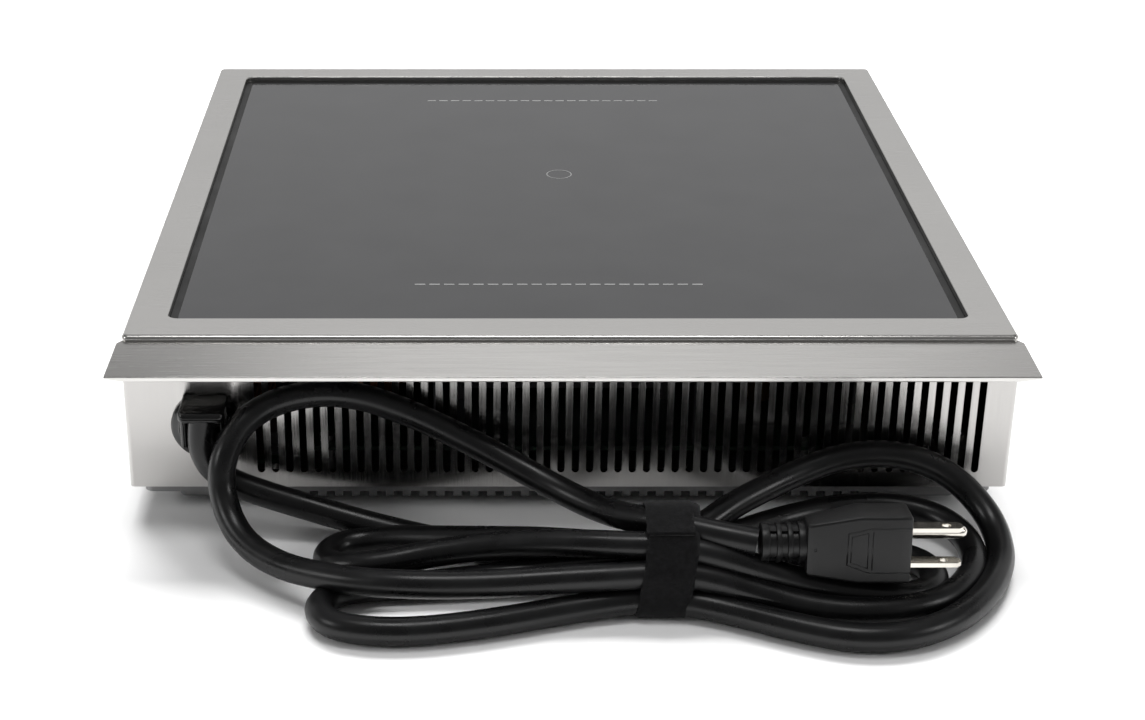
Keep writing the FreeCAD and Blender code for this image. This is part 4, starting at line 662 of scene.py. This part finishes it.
def glass_print():
    """The small centre ring, and two broken lines that mark the front and rear of the zone"""
    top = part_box("glass_plate")[1].z
    up, right = (0, 0, 1), (1, 0, 0)
    long, dashes, gap, wide = 114, 20, 1.6, 1.1
    parts = [flat_ring(Vector((-0.0022, -0.0059, top)), 5.4, 0.4, 0.0, up, right)]
    for y in (0.1195, -0.111):
        for k in range(dashes):
            x = (k - (dashes - 1) / 2) * long / dashes
            parts.append(bar(Vector((x * MM + 0.0023, y, top)), long / dashes - gap, wide, 0.0,
                             up, right))
    verts, faces = merge(parts)
    piece("glass_print", build("glass_print", verts, faces, False), "ceramic_glass", finish=PRINT)


# The sloping control face: its frame in the row frame, as in the CAD source.
FACE_TILT = math.atan2(37.7, 40.0)
FACE_OUT = Vector((0, -math.sin(FACE_TILT), math.cos(FACE_TILT)))
FACE_UP = Vector((0, math.cos(FACE_TILT), math.sin(FACE_TILT)))
FACE_FOOT = Vector((0, -0.200, 0.026))
KNOB_X, KNOB_Y = 96, 25  # mm on the control face


def on_face(x, y, z=0.0):
    """A point of the control face, given in mm across, up the slope and out of it"""
    return FACE_FOOT + (Vector((x, 0, 0)) + FACE_UP * y + FACE_OUT * z) * MM


def face_print():
    """Plain marks on the control film: a sign by each button and ticks round the knob"""
    right, film = (1, 0, 0), 0.8
    power_x, mode_x, timer_x, sign_y = -104, -71, -38, 12.0
    ticks, tick_circle = 11, 17.6

    def mark(x, y, long, wide, along=right):
        return bar(on_face(x, y), long, wide, film, FACE_OUT, along)
    parts = [flat_ring(on_face(power_x, sign_y), 1.9, 0.4, film, FACE_OUT, right,
                       math.radians(125), math.radians(290)),
             mark(power_x, 13.6, 0.4, 2.2)]
    parts += [mark(mode_x, 10.6 + 1.4 * k, 2.0 + 1.2 * k, 0.45) for k in range(3)]
    parts += [flat_ring(on_face(timer_x, sign_y), 2.0, 0.4, film, FACE_OUT, right),
              mark(timer_x, 12.6, 0.4, 1.6), mark(timer_x + 0.6, sign_y, 1.4, 0.4)]
    for k in range(ticks):
        angle = math.radians(225 - 27 * k)
        along = Vector((1, 0, 0)) * math.cos(angle) + FACE_UP * math.sin(angle)
        parts.append(mark(KNOB_X + tick_circle * math.cos(angle),
                          KNOB_Y + tick_circle * math.sin(angle), 2.4, 0.5, along))
    verts, faces = merge(parts)
    piece("face_print", build("face_print", verts, faces, False), "overlay_film",
          finish=satin("film_print", (0.62, 0.62, 0.62), 0.45, grain=3000))


def fluted_knob():
    """The knob with a fluted grip, a domed top and a pointer line"""
    steps, flutes, flute_depth = 192, 24, 0.35
    profile = [(7.0, 1.6), (13.6, 1.6), (14.0, 2.0), (14.0, 4.2), (13.6, 4.7), (12.9, 5.0),
               (12.7, 5.6), (12.6, 10.6), (12.3, 11.5), (11.6, 12.1), (10.4, 12.35), (6.0, 12.4),
               (0.05, 12.4)]
    rings = []
    for radius, height in profile:
        grip = 1.0 if 5.2 < height < 12.2 and radius > 11 else 0.0
        ring = []
        for k in range(steps):
            t = math.tau * k / steps
            r = radius - grip * flute_depth * (0.5 + 0.5 * math.cos(flutes * t)) ** 2
            ring.append(on_face(KNOB_X + r * math.cos(t), KNOB_Y + r * math.sin(t), height))
        rings.append(ring)
    verts, faces = loft(rings)
    mesh = build("knob_grip", verts, faces)
    mesh.set_sharp_from_angle(angle=math.radians(40))
    item = piece("knob_grip", mesh, "knob_plastic", "dial")
    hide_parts("knob")
    pointer = bar(on_face(KNOB_X, KNOB_Y + 6.2), 0.9, 8.4, 12.36, FACE_OUT, (1, 0, 0), 0.12)
    piece("knob_pointer", build("knob_pointer", *pointer, False), "button_plastic", "dial")


# ---------------------------------------------------------------- stage


def studio_sky():
    """A dim room with a broad bright wall beyond the controls, and a narrower panel above it"""
    world = bpy.data.worlds.new("studio")
    bpy.context.scene.world = world
    world.use_nodes = True
    nodes = Nodes(world.node_tree)
    node, link = nodes.node, nodes.link
    sky = nodes.tree.nodes["Background"]

    def ramp(source, *stops):
        """Grey levels at (position, shade) stops"""
        made = node("ValToRGB")
        link(source, made.inputs["Fac"])
        steps = made.color_ramp.elements
        steps[0].position, steps[1].position = stops[0][0], stops[-1][0]
        for position, _ in stops[1:-1]:
            steps.new(position)
        for step, (_, shade) in zip(steps, stops):
            step.color = (shade, shade, shade, 1)
        return made.outputs["Color"]

    def mix(share, low, high):
        made = node("Mix", data_type="RGBA")
        link(share, made.inputs["Factor"])
        for word, out in (("A", low), ("B", high)):
            link(out, made.inputs[word])
        return made.outputs["Result"]

    def rescale(source, start, end):
        made = node("MapRange")
        made.inputs["From Min"].default_value = start
        made.inputs["From Max"].default_value = end
        link(source, made.inputs["Value"])
        return made.outputs["Result"]
    place = node("TexCoord")
    split = node("SeparateXYZ")
    link(place.outputs["Generated"], split.inputs["Vector"])
    level = split.outputs["Z"]
    wall = ramp(level, (0.0, 0.62), (0.25, 0.66), (0.42, 0.80), (0.56, 1.0))
    panel = ramp(rescale(split.outputs["X"], -0.5, 0.5), (0.20, 0.03), (0.31, 0.95), (0.5, 1.15),
                 (0.57, 1.0), (0.64, 0.03))
    above = ramp(level, (0.66, 1.0), (0.78, 0.0))
    high = mix(above, ramp(level, (0.0, 0.30), (1.0, 0.30)), panel)
    front = mix(ramp(level, (0.52, 0.0), (0.57, 1.0)), wall, high)
    room = ramp(level, (0.0, 0.22), (0.5, 0.16), (1.0, 0.30))
    link(mix(rescale(split.outputs["Y"], 0.1, -0.35), room, front), sky.inputs["Color"])
    sky.inputs["Strength"].default_value = 1.0


def stage():
    """Pale floor and soft lights"""
    bpy.ops.mesh.primitive_plane_add(size=12)
    floor = bpy.context.object
    floor.name = "floor"
    paint = Paint("floor", (0.93, 0.93, 0.93), 0.7, Specular_IOR_Level=0.2)
    paint.vary_rough(paint.grain(3), 0.05)
    floor.data.materials.append(paint.material)
    studio_sky()

    def softbox(name, at, aim, size, power, shines=True):
        """An area light; shines is off for one that isn't mirrored in the steel"""
        light = bpy.data.lights.new(name, "AREA")
        light.shape = "RECTANGLE"
        light.size, light.size_y = size
        light.energy = power
        item = bpy.data.objects.new(name, light)
        bpy.context.scene.collection.objects.link(item)
        item.location = at
        item.rotation_euler = (Vector(aim) - Vector(at)).to_track_quat("-Z", "Y").to_euler()
        item.visible_glossy = shines
    softbox("beyond", (0.0, -1.15, 1.75), (0, 0.1, 0), (2.2, 1.1), 100, False)
    softbox("overhead", (0.0, 0.35, 2.4), (0, 0.25, 0), (1.0, 0.6), 14)
    softbox("near_left", (1.5, 0.8, 0.9), (0, 0.2, 0.03), (0.5, 0.5), 5)
    softbox("near_right", (-1.6, 0.8, 0.9), (0, 0.2, 0.03), (0.5, 0.5), 5)


def camera():
    """Stands behind the cooktop and a little above it, on the side of its cord"""
    view = bpy.data.cameras.new("view")
    view.lens, view.sensor_width = 65.9, 36
    view.shift_x = 0.0825
    item = bpy.data.objects.new("view", view)
    bpy.context.scene.collection.objects.link(item)
    item.location = (0.0338, 0.8734, 0.387)
    item.rotation_euler = (math.radians(64.98), 0, math.radians(180))
    bpy.context.scene.camera = item


camera()
stage()
finish_cad_nodes()
cord = mains_cord()
band = strap()
moulding = plug_body()
outline = plug_frame()
strain_relief()
glass_print()
face_print()
fluted_knob()
bpy.context.scene.view_settings.view_transform = "Standard"
